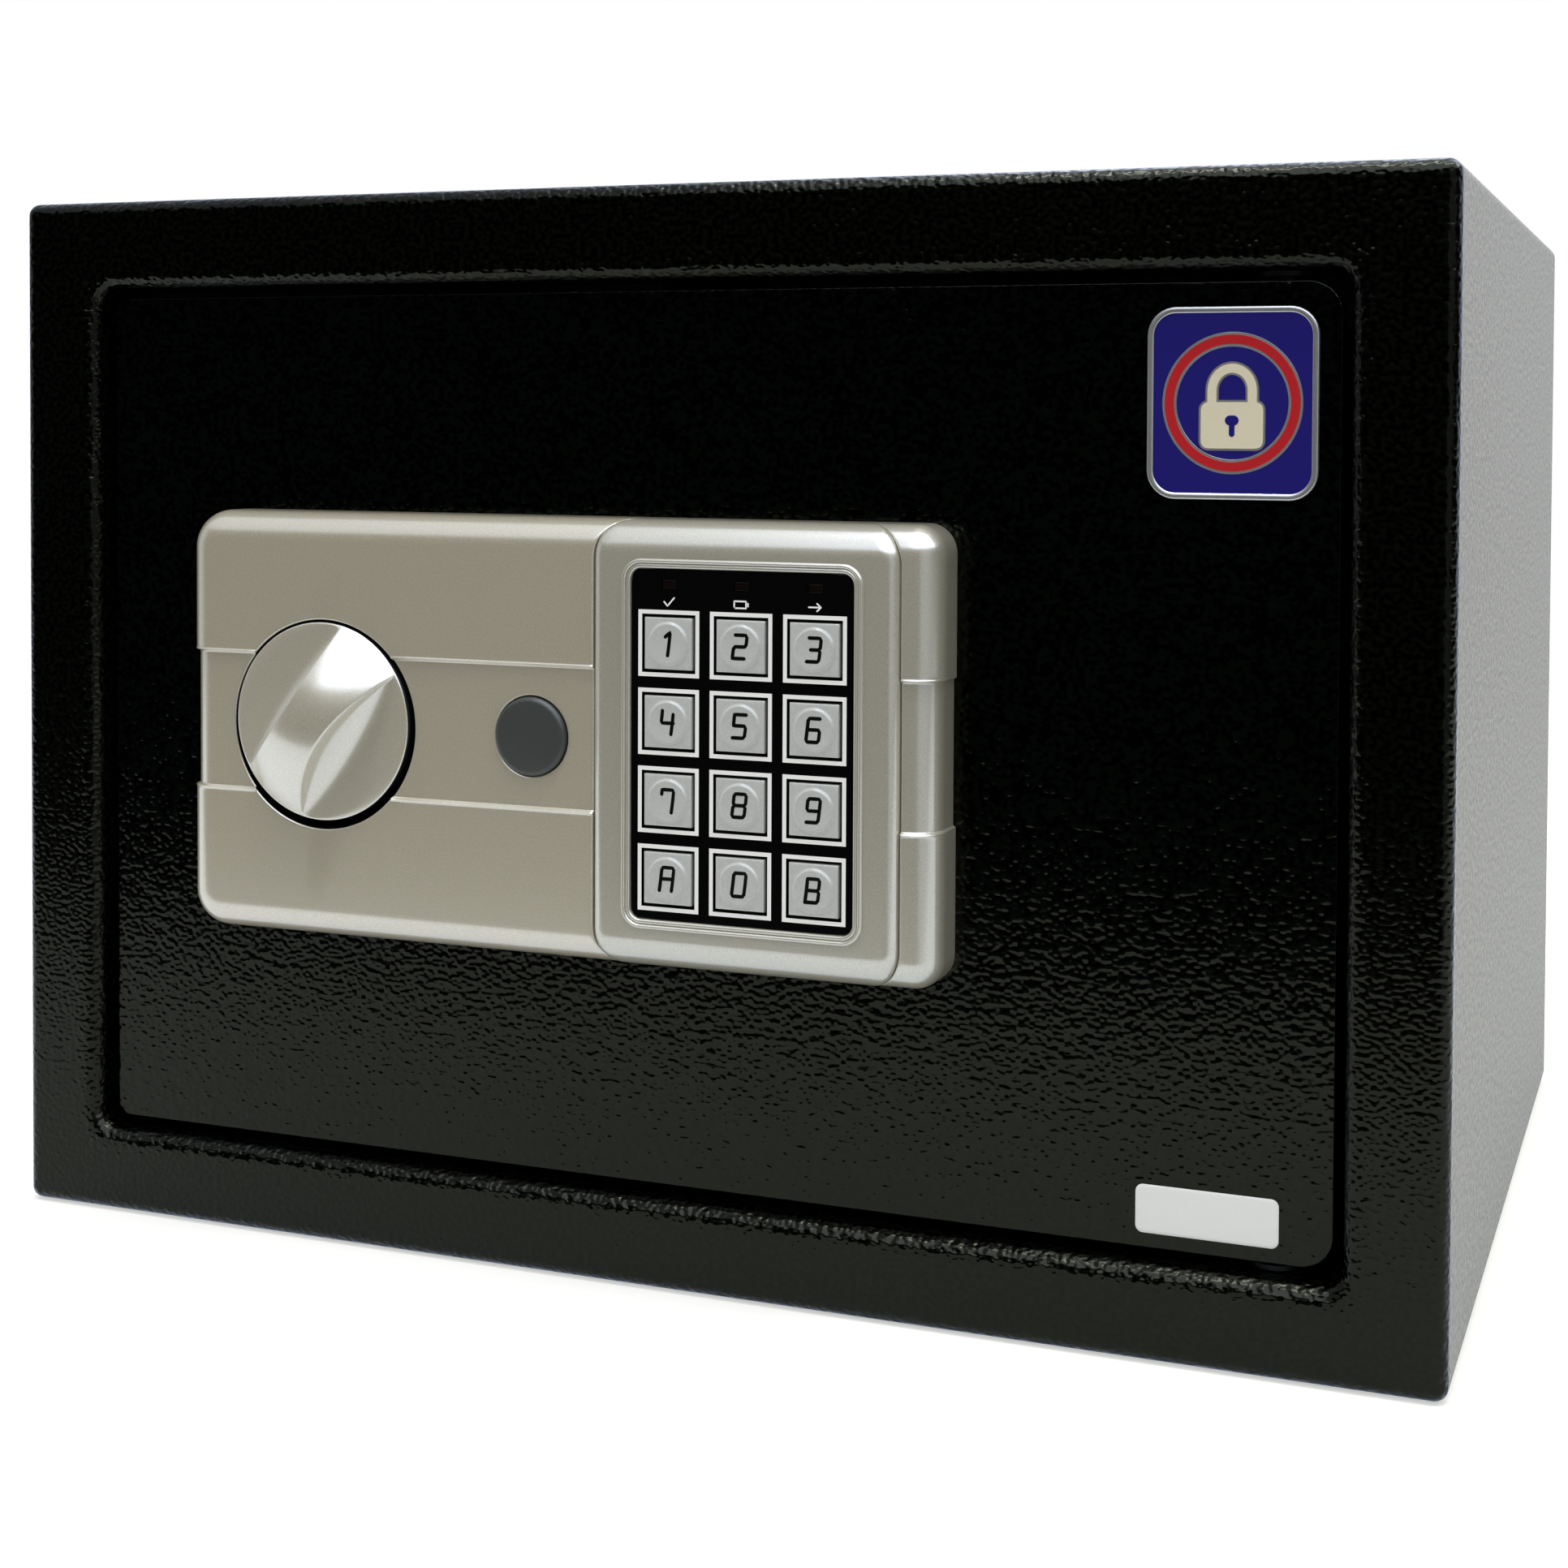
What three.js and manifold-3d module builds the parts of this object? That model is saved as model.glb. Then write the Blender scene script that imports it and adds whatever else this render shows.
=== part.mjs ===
// Electronic hotel-room safe: folded steel cabinet, recessed door on two pins, silver lock panel with a
// keypad and a turn knob, and the bolt work inside the door.
// Millimetres. X to the right, Y into the safe, Z up. The origin is the middle of the cabinet's base.
import * as THREE from 'three';
import { mergeVertices } from 'three/addons/utils/BufferGeometryUtils.js';
import Module from 'manifold-3d';

const wasm = await Module();
wasm.setup();

// Cabinet
const cabinetWidth = 350;
const cabinetHeight = 250;
const cabinetDepth = 250;
const bodySheet = 1.5;
const backSheet = 1.5;
const edgeRadius = 3;
const rimDepth = 4;
const anchorHoleRadius = 5;
const anchorSpacing = 150;
const matThickness = 3;
const matMargin = 1.5;
const matHoleRadius = 9;

// Front frame and its opening
const frameSheet = 2;
const borderSide = 21.4;
const borderTop = 21.3;
const borderBottom = 20.3;
const openingCorner = 4.5;
const rollRadius = 3.5;
const flangeDepth = 20;

// Door
const doorGap = 2.4;
const doorRecess = 5;
const doorPlate = 4;
const doorCorner = 7;
const doorEdge = 0.8;
const trayDepth = 38;
const traySheet = 1.5;
const trayInset = 3.9;
const trayInsetHigh = 7;
const trayCorner = 3;
const trayLip = 12;
const coverSheet = 1.2;
const coverScrewRadius = 1.5;
const screwHeadRadius = 3.2;
const screwHeadHeight = 1.6;
const screwLength = 6;

// Hinge
const hingeInset = 13;
const hingeSetBack = 7.3;
const pinRadius = 3;
const pinWasherRadius = 5.5;
const pinWasherThickness = 1.2;
const pinInTray = 12;
const bracketWidth = 30;
const bracketDepth = 13;
const bracketThickness = 3;

// Lock panel
const panelWidth = 190;
const panelHeight = 100;
const panelThickness = 13;
const panelInset = 32.6;
const panelRise = 0.5;
const panelCornerLeft = 9;
const panelCornerRight = 6.5;
const panelFillet = 6.5;
const panelWall = 2.5;
const panelFloor = 2;
const bandHeight = 32.2;
const bandRecess = 0.6;
const bandRise = 0.4;

// Knob
const knobInset = 38.2;
const knobRadius = 23.3;
const knobGap = 1.2;
const knobProud = 0.3;
const knobChamfer = 0.5;
const gripHeight = 9;
const gripWaist = 11.9;
const gripEnd = 19.6;
const gripFootHeight = 4.6;
const gripFootWidth = 5.2;
const gripFootEdge = 0.8;
const gripAngle = 36.5;
const spindleRadius = 5;
const spindleInKnob = 5;

// Bolt work
const throwAngle = 70;
const crankRadius = 15;
const drivePinRadius = 3;
const slotPlay = 0.4;
const camThickness = 4;
const camHubRadius = 9;
const camTipRadius = 4.8;
const camToCarriage = 3.5;
const carriageSheet = 2;
const carriageStandOff = 29.5;
const solenoidRoom = 40.8;
const carriageLength = 68;
const carriageFlange = 24;
const boltRadius = 8;
const boltLength = 34;
const boltMargin = 14;
const boltSpigotRadius = 4;
const boltChamfer = 1.5;
const boltTipInset = 0.6;
const studRadius = 3;
const studHeadRadius = 5.5;
const studHeadThickness = 1.5;
const studSpacing = 41;
const studSetBack = 15.2;

// Solenoid
const plungerRadius = 3;
const plungerStroke = 5;
const plungerFromKnob = 10.8;
const plungerInset = 13;
const plungerCollarRadius = 5;
const plungerCollarThickness = 1.2;
const plungerAboveFrame = 2;
const springLength = 7.8;
const springTurns = 5;
const springRadius = 4.2;
const springWireRadius = 0.35;
const solenoidSheet = 1.5;
const solenoidWidth = 24;
const solenoidHeight = 19.7;
const solenoidCoilRadius = 9.3;

// Override lock
const capInset = 93;
const capRadius = 8.95;
const capProud = 1.6;
const capThickness = 3.1;
const capEdge = 1.2;
const lockBodyRadius = 8;
const lockBodyLength = 33;
const lockNutRadius = 11;
const lockNutThickness = 2.4;
const coreRadius = 4.8;
const tailLength = 14;
const tailWidth = 6;
const tailThickness = 2;
const keywayWidth = 1.4;
const keywayHeight = 6;
const keywayDepth = 8;

// Keypad
const housingWidth = 72.5;
const housingInset = 8.5;
const housingCorner = 8.5;
const housingProud = 1.5;
const housingFillet = 3;
const housingWall = 2.5;
const overlayWidth = 52.6;
const overlayHeight = 77.5;
const overlayRise = 0.5;
const overlayCorner = 2.5;
const overlayThickness = 0.8;
const overlaySink = 0.4;
const overlayLand = 1.3;
const beadWidth = 1.05;
const outerBeadHeight = 0.55;
const innerBeadHeight = 0.3;
const keyPitch = 17.3;
const keySize = 11.45;
const keyLine = 0.62;
const keyProud = 0.3;
const keyCorner = 0.5;
const keyTravel = 0.5;
const keyRowsDrop = 3.1;
const domeRadius = 4.95;
const domeHeight = 0.45;
const domeEdge = 0.5;
const lampWidth = 3.6;
const lampHeight = 2.3;
const lampRise = 35.9;
const lampCorner = 0.3;
const boardMargin = 3;
const boardThickness = 1.6;
const loomRadius = 1.6;
const loomHoleRadius = 5;
const loomStandOff = 2;
const loomRise = 12;
const loomBend = 14;

// Badge and label
const badgeWidth = 35.8;
const badgeHeight = 40;
const badgeCorner = 6;
const badgeThickness = 1;
const badgeRim = 1.3;
const badgePocket = 0.35;
const badgeFromSide = 22.5;
const badgeFromTop = 25.2;
const labelWidth = 30.4;
const labelHeight = 10.3;
const labelCorner = 1.6;
const labelThickness = 0.2;
const labelFromSide = 26.4;
const labelFromBottom = 8.4;

// Battery box and reset button
const batteryRadius = 7.1;
const batteryLength = 48.5;
const batteryNub = 1.2;
const batteryNubRadius = 2.7;
const batteryCount = 4;
const batteryPitch = 15;
const batteryEndRoom = 3.5;
const batteryBoxWall = 1.5;
const batteryBoxFromSide = 86.2;
const batteryFlange = 4;
const batteryFlangeThickness = 1.6;
const batteryLid = 2;
const batteryRail = 2;
const lidRibs = 5;
const lidRibPitch = 3;
const lidRibMargin = 12;
const resetFromSide = 31.2;
const resetFromTop = 41.3;
const resetRadius = 3.8;
const resetFlange = 5.5;
const resetTravel = 1.5;
const resetProud = 2.5;

// Clearances and the sharpest corner
const leastCorner = 0.3;
const seat = 0.05;
const snug = 0.25;
const running = 0.2;

// Working values that several pieces share
const front = -cabinetDepth / 2;
const back = cabinetDepth / 2;
const seam = front + rimDepth;
const openingWidth = cabinetWidth - 2 * borderSide;
const openingHeight = cabinetHeight - borderTop - borderBottom;
const openingZ = borderBottom + openingHeight / 2;
const openingTop = openingZ + openingHeight / 2;
const openingBottom = openingZ - openingHeight / 2;
const flangeBack = front + flangeDepth;
const doorWidth = openingWidth - 2 * doorGap;
const doorHeight = openingHeight - 2 * doorGap;
const doorFace = front + doorRecess;
const doorBack = doorFace + doorPlate;
const trayWidth = doorWidth - 2 * trayInset;
const trayHeight = doorHeight - 2 * trayInsetHigh;
const trayBack = doorBack + trayDepth;
const doorRight = doorWidth / 2;
const doorTop = openingZ + doorHeight / 2;
const doorBottom = openingZ - doorHeight / 2;
const hingeX = doorRight - hingeInset;
const hingeY = doorFace + hingeSetBack;
const panelLeft = panelInset - openingWidth / 2;
const panelRight = panelLeft + panelWidth;
const panelX = panelLeft + panelWidth / 2;
const panelZ = openingZ + panelRise;
const lockZ = panelZ + bandRise;
const panelFace = doorFace - panelThickness;
const knobX = panelLeft + knobInset;
const capX = panelLeft + capInset;
const plungerX = knobX + plungerFromKnob;
const housingX = panelRight - housingInset - housingWidth / 2;
const overlayZ = panelZ + overlayRise;
const keyRowsZ = panelZ - keyRowsDrop;
const lampZ = panelZ + lampRise;
const badgePlace = [doorRight - badgeFromSide, doorTop - badgeFromTop];
const labelPlace = [doorRight - labelFromSide, doorBottom + labelFromBottom];
const batteryBoxX = doorRight - batteryBoxFromSide;
const resetX = doorRight - resetFromSide;
const resetZ = doorTop - resetFromTop;
const wellRadius = knobRadius + knobGap;
const wellFloor = doorFace - panelFloor;
const knobFace = panelFace - knobProud;
const carriageFront = doorBack + carriageStandOff;
const carriageBack = carriageFront + carriageSheet;
const boltY = carriageFront - 1 - boltRadius;
const boltTip = -trayWidth / 2 + boltTipInset;
const boltEnd = boltTip + boltLength;
const carriageLeft = boltEnd + seat;
const carriageTop = openingZ + trayHeight / 2 - solenoidRoom;
const carriageHeight = 2 * (carriageTop - openingZ);
const carriageBottom = carriageTop - carriageHeight;
const boltHeights = [carriageTop - boltMargin, carriageBottom + boltMargin];
const restCrank = THREE.MathUtils.degToRad(throwAngle / 2);
const boltThrow = 2 * crankRadius * Math.sin(restCrank);
const camBack = carriageFront - camToCarriage;
const plungerY = doorBack + plungerInset;
const collarTop = carriageTop + plungerStroke + 1 + plungerCollarThickness;
const springTop = collarTop + springLength;
const bandFace = panelFace + bandRecess;
const lockBodyFront = bandFace - capProud + capThickness + running;
const housingFace = panelFace - housingProud;
const overlayFace = housingFace + overlaySink;
const overlayBack = overlayFace + overlayThickness;
const boardFront = housingFace + housingWall;
const keyFace = overlayFace - keyProud;
const keyBack = boardFront - keyTravel - running;
const coverFront = trayBack + seat;
const coverBack = coverFront + coverSheet;
const batteryBoxWidth = batteryLength + batteryNub + 2 * batteryEndRoom + 2 * batteryBoxWall;
const batteryBoxHeight = (batteryCount - 1) * batteryPitch + 2 * batteryRadius + 2 * batteryBoxWall + 1.2;
const batteryBoxDepth = 2 * batteryRadius + batteryBoxWall + 3;
const lidFront = coverBack + seat + batteryFlangeThickness + seat;

const paint = (color, roughness, metalness = 0) =>
  new THREE.MeshStandardMaterial({ color, roughness, metalness, flatShading: true });

const finishes = {
  greyBody: () => paint(0xbdbdb6, 0.6),
  blackFrame: () => paint(0x121312, 0.35),
  silver: () => paint(0x9f998c, 0.35, 0.4),
  keypadBlack: () => paint(0x0c0d0d, 0.25),
  keyGrey: () => paint(0xb9bbb9, 0.5),
  capGrey: () => paint(0x3a3f3d, 0.5),
  lamp: () => paint(0x3a1512, 0.2),
  steel: () => paint(0xa8abad, 0.35, 0.9),
  zincSteel: () => paint(0xb7b59f, 0.4, 0.8),
  board: () => paint(0x1d5a34, 0.6),
  copper: () => paint(0x9c5a2a, 0.45, 0.6),
  brass: () => paint(0xb08d45, 0.35, 0.9),
  felt: () => paint(0x35373a, 0.95),
  blackPlastic: () => paint(0x1b1c1d, 0.55),
  battery: () => paint(0x2d4f63, 0.4, 0.3),
  red: () => paint(0xb01010, 0.4),
  badge: () => paint(0x1a0f5e, 0.3),
  label: () => paint(0xd9ddd8, 0.5),
  wire: () => paint(0x202124, 0.6),
};

// A closed three.js geometry with shared vertices, turned right side out
function closed(geometry) {
  const bare = new THREE.BufferGeometry();
  bare.setAttribute('position', geometry.getAttribute('position').clone());
  if (geometry.index) bare.setIndex(geometry.index.clone());
  const merged = mergeVertices(bare, 1e-4);
  const corners = merged.index.array;
  const points = merged.getAttribute('position');
  const a = new THREE.Vector3();
  const b = new THREE.Vector3();
  const c = new THREE.Vector3();
  const kept = [];
  let volume = 0;
  for (let i = 0; i < corners.length; i += 3) {
    const [p, q, r] = [corners[i], corners[i + 1], corners[i + 2]];
    if (p === q || q === r || r === p) continue;
    kept.push(p, q, r);
    a.fromBufferAttribute(points, p);
    b.fromBufferAttribute(points, q);
    c.fromBufferAttribute(points, r);
    volume += a.dot(b.cross(c));
  }
  if (volume < 0) kept.reverse();
  merged.setIndex(kept);
  return merged;
}

function toSolid(geometry) {
  const shell = closed(geometry);
  return new wasm.Manifold(new wasm.Mesh({
    numProp: 3,
    vertProperties: Float32Array.from(shell.getAttribute('position').array),
    triVerts: Uint32Array.from(shell.index.array),
  }));
}

function toGeometry(solid) {
  const mesh = solid.getMesh();
  const geometry = new THREE.BufferGeometry();
  geometry.setAttribute('position', new THREE.BufferAttribute(Float32Array.from(mesh.vertProperties), 3));
  geometry.setIndex(Array.from(mesh.triVerts));
  return geometry;
}

const join = (first, ...rest) =>
  toGeometry(rest.reduce((solid, next) => solid.add(toSolid(next)), toSolid(first)));
const cut = (first, ...rest) =>
  toGeometry(rest.reduce((solid, next) => solid.subtract(toSolid(next)), toSolid(first)));
const common = (first, second) => toGeometry(toSolid(first).intersect(toSolid(second)));

// Rounded rectangle of points at one depth, counterclockwise as seen from the front
function outline(width, height, radius, y, centre = [0, 0], steps = 4) {
  const radii = Array.isArray(radius) ? radius : [radius, radius];
  const points = [];
  const corners = [[1, 1], [-1, 1], [-1, -1], [1, -1]];
  corners.forEach(([sideX, sideZ], quarter) => {
    const r = Math.max(sideX > 0 ? radii[0] : radii[1], leastCorner);
    for (let step = 0; step <= steps; step++) {
      const angle = (quarter + step / steps) * Math.PI / 2;
      const x = centre[0] + sideX * (width / 2 - r) + r * Math.cos(angle);
      const z = centre[1] + sideZ * (height / 2 - r) + r * Math.sin(angle);
      points.push(new THREE.Vector3(x, y, z));
    }
  });
  return points;
}

function skin(rings, around) {
  const count = rings[0].length;
  const positions = rings.flat().flatMap((point) => point.toArray());
  const index = [];
  const last = around ? rings.length : rings.length - 1;
  for (let i = 0; i < last; i++) {
    const next = (i + 1) % rings.length;
    for (let j = 0; j < count; j++) {
      const k = (j + 1) % count;
      index.push(i * count + j, i * count + k, next * count + k);
      index.push(i * count + j, next * count + k, next * count + j);
    }
  }
  if (!around) {
    const ends = [[0, 1], [rings.length - 1, -1]];
    for (const [ring, turn] of ends) {
      const middle = positions.length / 3;
      const centre = rings[ring].reduce((sum, point) => sum.add(point), new THREE.Vector3());
      positions.push(...centre.divideScalar(count).toArray());
      for (let j = 0; j < count; j++) {
        const here = ring * count + j;
        const there = ring * count + (j + 1) % count;
        index.push(...(turn > 0 ? [middle, there, here] : [middle, here, there]));
      }
    }
  }
  const geometry = new THREE.BufferGeometry();
  geometry.setAttribute('position', new THREE.Float32BufferAttribute(positions, 3));
  geometry.setIndex(index);
  return closed(geometry);
}

// A solid block through outlines from front to back
const slab = (...rings) => skin(rings, false);
// A hollow frame whose section is walked once round by outlines
const hollowFrame = (...rings) => skin(rings, true);

function box(x0, x1, y0, y1, z0, z1) {
  const geometry = new THREE.BoxGeometry(x1 - x0, y1 - y0, z1 - z0);
  return geometry.translate((x0 + x1) / 2, (y0 + y1) / 2, (z0 + z1) / 2);
}

// Cylinders along each axis, from one coordinate to another
function rodY(radius, y0, y1, x, z, sides = 24) {
  return new THREE.CylinderGeometry(radius, radius, y1 - y0, sides).translate(x, (y0 + y1) / 2, z);
}

function rodZ(radius, z0, z1, x, y, sides = 20) {
  const rod = new THREE.CylinderGeometry(radius, radius, z1 - z0, sides).rotateX(Math.PI / 2);
  return rod.translate(x, y, (z0 + z1) / 2);
}

function rodX(radius, x0, x1, y, z, sides = 24) {
  const rod = new THREE.CylinderGeometry(radius, radius, x1 - x0, sides).rotateZ(Math.PI / 2);
  return rod.translate((x0 + x1) / 2, y, z);
}

// A turned piece about the Y axis; each profile point is [radius, y]
function turned(profile, sides = 24) {
  const points = profile.map(([radius, y]) => new THREE.Vector2(radius, y));
  return closed(new THREE.LatheGeometry(points, sides));
}

// A flat piece cut to a shape drawn in X and Z, lying between two depths
function sheetY(shape, y0, y1, curveSegments = 8) {
  const options = { depth: y1 - y0, bevelEnabled: false, curveSegments };
  return new THREE.ExtrudeGeometry(shape, options).rotateX(Math.PI / 2).translate(0, y1, 0);
}

// A bar whose section is drawn in Y and Z, running between two X
function barX(shape, x0, x1, curveSegments = 8) {
  const geometry = new THREE.ExtrudeGeometry(shape, { depth: x1 - x0, bevelEnabled: false, curveSegments });
  const axes = new THREE.Matrix4().makeBasis(
    new THREE.Vector3(0, 1, 0), new THREE.Vector3(0, 0, 1), new THREE.Vector3(1, 0, 0));
  return geometry.applyMatrix4(axes).translate(x0, 0, 0);
}

function roundedShape(Type, width, height, radius, x, z) {
  const shape = new Type();
  const [left, right] = [x - width / 2, x + width / 2];
  const [low, high] = [z - height / 2, z + height / 2];
  shape.moveTo(left + radius, low);
  shape.lineTo(right - radius, low);
  shape.absarc(right - radius, low + radius, radius, -Math.PI / 2, 0);
  shape.absarc(right - radius, high - radius, radius, 0, Math.PI / 2);
  shape.absarc(left + radius, high - radius, radius, Math.PI / 2, Math.PI);
  shape.absarc(left + radius, low + radius, radius, Math.PI, Math.PI * 1.5);
  return shape;
}

function quarter(steps) {
  return Array.from({ length: steps + 1 }, (_, step) => (step / steps) * Math.PI / 2);
}

function piece(name, geometry, material) {
  const mesh = new THREE.Mesh(closed(geometry), material);
  mesh.name = name;
  return mesh;
}

// The folded tube of sides, top and base, with anchor holes in the base
function cabinetWrap() {
  const mid = [0, cabinetHeight / 2];
  const y0 = seam + seat;
  const y1 = back - backSheet - seat;
  const innerWidth = cabinetWidth - 2 * bodySheet;
  const innerHeight = cabinetHeight - 2 * bodySheet;
  const tube = hollowFrame(
    outline(cabinetWidth, cabinetHeight, edgeRadius, y0, mid),
    outline(cabinetWidth, cabinetHeight, edgeRadius, y1, mid),
    outline(innerWidth, innerHeight, edgeRadius - bodySheet, y1, mid),
    outline(innerWidth, innerHeight, edgeRadius - bodySheet, y0, mid));
  const holes = [-1, 1].map((side) =>
    rodZ(anchorHoleRadius, -1, bodySheet + 1, side * anchorSpacing / 2, 0, 36));
  return piece('cabinet_wrap', cut(tube, ...holes), finishes.greyBody());
}

function backPanel() {
  const mid = [0, cabinetHeight / 2];
  const plate = slab(
    outline(cabinetWidth, cabinetHeight, edgeRadius, back - backSheet, mid),
    outline(cabinetWidth, cabinetHeight, edgeRadius, back, mid));
  const holes = [-1, 1].map((side) =>
    rodY(anchorHoleRadius, back - backSheet - 1, back + 1, side * anchorSpacing / 2, cabinetHeight / 2, 36));
  return piece('back_panel', cut(plate, ...holes), finishes.greyBody());
}

// Pressed frame: rim, rounded outer edge, flat border, rolled opening edge and return flange
function frontFrame() {
  const mid = [0, cabinetHeight / 2];
  const hole = [0, openingZ];
  const rim = (inset, y) =>
    outline(cabinetWidth - 2 * inset, cabinetHeight - 2 * inset, edgeRadius - inset, y, mid);
  const mouth = (offset, y) =>
    outline(openingWidth + 2 * offset, openingHeight + 2 * offset, openingCorner + offset, y, hole);
  const rings = [rim(0, seam)];
  for (const angle of quarter(3)) {
    const inset = edgeRadius * (1 - Math.cos(angle));
    rings.push(rim(inset, front + edgeRadius * (1 - Math.sin(angle))));
  }
  for (const angle of quarter(4)) {
    const offset = rollRadius * (1 - Math.sin(angle));
    rings.push(mouth(offset, front + rollRadius * (1 - Math.cos(angle))));
  }
  rings.push(mouth(0, flangeBack), mouth(frameSheet, flangeBack));
  const innerRoll = rollRadius - frameSheet;
  for (const angle of quarter(2).reverse()) {
    const offset = rollRadius - innerRoll * Math.sin(angle);
    rings.push(mouth(offset, front + rollRadius - innerRoll * Math.cos(angle)));
  }
  rings.push(rim(edgeRadius, front + frameSheet));
  rings.push(rim(frameSheet, front + edgeRadius), rim(frameSheet, seam));
  const low = openingBottom - frameSheet - 1;
  const high = openingTop + frameSheet + 1;
  const pinHole = rodZ(pinRadius + running, low, high, hingeX, hingeY);
  return piece('front_frame', cut(hollowFrame(...rings), pinHole), finishes.blackFrame());
}

// Reinforcing plate behind the frame's flange, with the pin's hole
function hingeBracket(name, side) {
  const start = side > 0
    ? openingTop + frameSheet + seat
    : openingBottom - frameSheet - seat - bracketThickness;
  const left = hingeX - bracketWidth / 2;
  const plate = box(left, left + bracketWidth, hingeY - bracketDepth / 2, hingeY + bracketDepth / 2,
    start, start + bracketThickness);
  const hole = rodZ(pinRadius + running, start - 1, start + bracketThickness + 1, hingeX, hingeY);
  return piece(name, cut(plate, hole), finishes.zincSteel());
}

function hingePin(name, side) {
  const edge = side > 0 ? openingTop : openingBottom;
  const trayEdge = openingZ + side * trayHeight / 2;
  const washerNear = edge - side * (running + pinWasherThickness);
  const heights = [trayEdge - side * pinInTray, washerNear, washerNear, edge - side * running,
    edge - side * running, edge + side * (frameSheet + bracketThickness + 2)];
  const radii = [pinRadius, pinRadius, pinWasherRadius, pinWasherRadius, pinRadius, pinRadius];
  const profile = heights.map((z, i) => [radii[i], z]);
  const pin = turned([[0, heights[0]], ...profile, [0, heights[heights.length - 1]]], 16);
  pin.rotateX(Math.PI / 2).translate(hingeX, hingeY, 0);
  return piece(name, pin, finishes.steel());
}

function floorMat() {
  const half = cabinetWidth / 2 - bodySheet - matMargin;
  const mat = box(-half, half, flangeBack + matMargin, back - backSheet - matMargin,
    bodySheet + seat, bodySheet + seat + matThickness);
  const holes = [-1, 1].map((side) =>
    rodZ(matHoleRadius, bodySheet - 1, bodySheet + matThickness + 1, side * anchorSpacing / 2, 0));
  return piece('floor_mat', cut(mat, ...holes), finishes.felt());
}

function doorPlateSolid() {
  const centre = [0, openingZ];
  const rings = quarter(3).reverse().map((angle) => {
    const inset = doorEdge * (1 - Math.cos(angle));
    const y = doorFace + doorEdge * (1 - Math.sin(angle));
    return outline(doorWidth - 2 * inset, doorHeight - 2 * inset, doorCorner - inset, y, centre);
  });
  rings.push(outline(doorWidth, doorHeight, doorCorner, doorBack, centre));
  const [y0, y1] = [doorFace - 1, doorBack + 1];
  return piece('door_plate', cut(slab(...rings),
    rodY(spindleRadius + running, y0, y1, knobX, lockZ),
    rodY(lockBodyRadius + snug, y0, y1, capX, lockZ),
    rodY(loomHoleRadius, y0, y1, housingX, lockZ)), finishes.blackFrame());
}

const coverScrewPlaces = [-1, 1].flatMap((sideX) => [-1, 1].map((sideZ) => [
  sideX * (trayWidth / 2 - traySheet - trayLip / 2),
  openingZ + sideZ * (trayHeight / 2 - traySheet - trayLip / 2),
]));

// Steel tray behind the door plate: it guides the bolts and holds the hinge pins
function doorTray() {
  const centre = [0, openingZ];
  const wall = (inset, y) =>
    outline(trayWidth - 2 * inset, trayHeight - 2 * inset, trayCorner - Math.min(inset, 1.5), y, centre);
  const start = doorBack + seat;
  const tray = hollowFrame(
    wall(0, start), wall(0, trayBack),
    wall(traySheet + trayLip, trayBack), wall(traySheet + trayLip, trayBack - traySheet),
    wall(traySheet, trayBack - traySheet), wall(traySheet, start));
  const left = -trayWidth / 2;
  const boltHoles = boltHeights.map((z) =>
    rodX(boltRadius + running, left - 1, left + traySheet + 1, boltY, z));
  const pinHole = rodZ(pinRadius + seat * 2, openingZ - trayHeight, openingZ + trayHeight, hingeX, hingeY);
  const screwHoles = coverScrewPlaces.map(([x, z]) =>
    rodY(coverScrewRadius + running, trayBack - traySheet - 1, trayBack + 1, x, z, 12));
  return piece('door_tray', cut(tray, ...boltHoles, pinHole, ...screwHoles), finishes.blackFrame());
}

// Outline blocks of the lock panel; shrink pulls every face in by the same amount
function panelBlock(shrink) {
  const centre = [panelX, panelZ];
  const ring = (inset, y) => outline(panelWidth - 2 * inset, panelHeight - 2 * inset,
    [panelCornerRight - inset, panelCornerLeft - inset], y, centre);
  const rings = quarter(4).reverse().map((angle) => {
    const inset = shrink + panelFillet * (1 - Math.cos(angle));
    return ring(inset, panelFace + shrink + panelFillet * (1 - Math.sin(angle)));
  });
  rings.push(ring(shrink, doorFace - seat));
  return slab(...rings);
}

function housingOutline(grow, y) {
  return outline(housingWidth + 2 * grow, panelHeight + 2 * grow, housingCorner + grow, y,
    [housingX, panelZ]);
}

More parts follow.
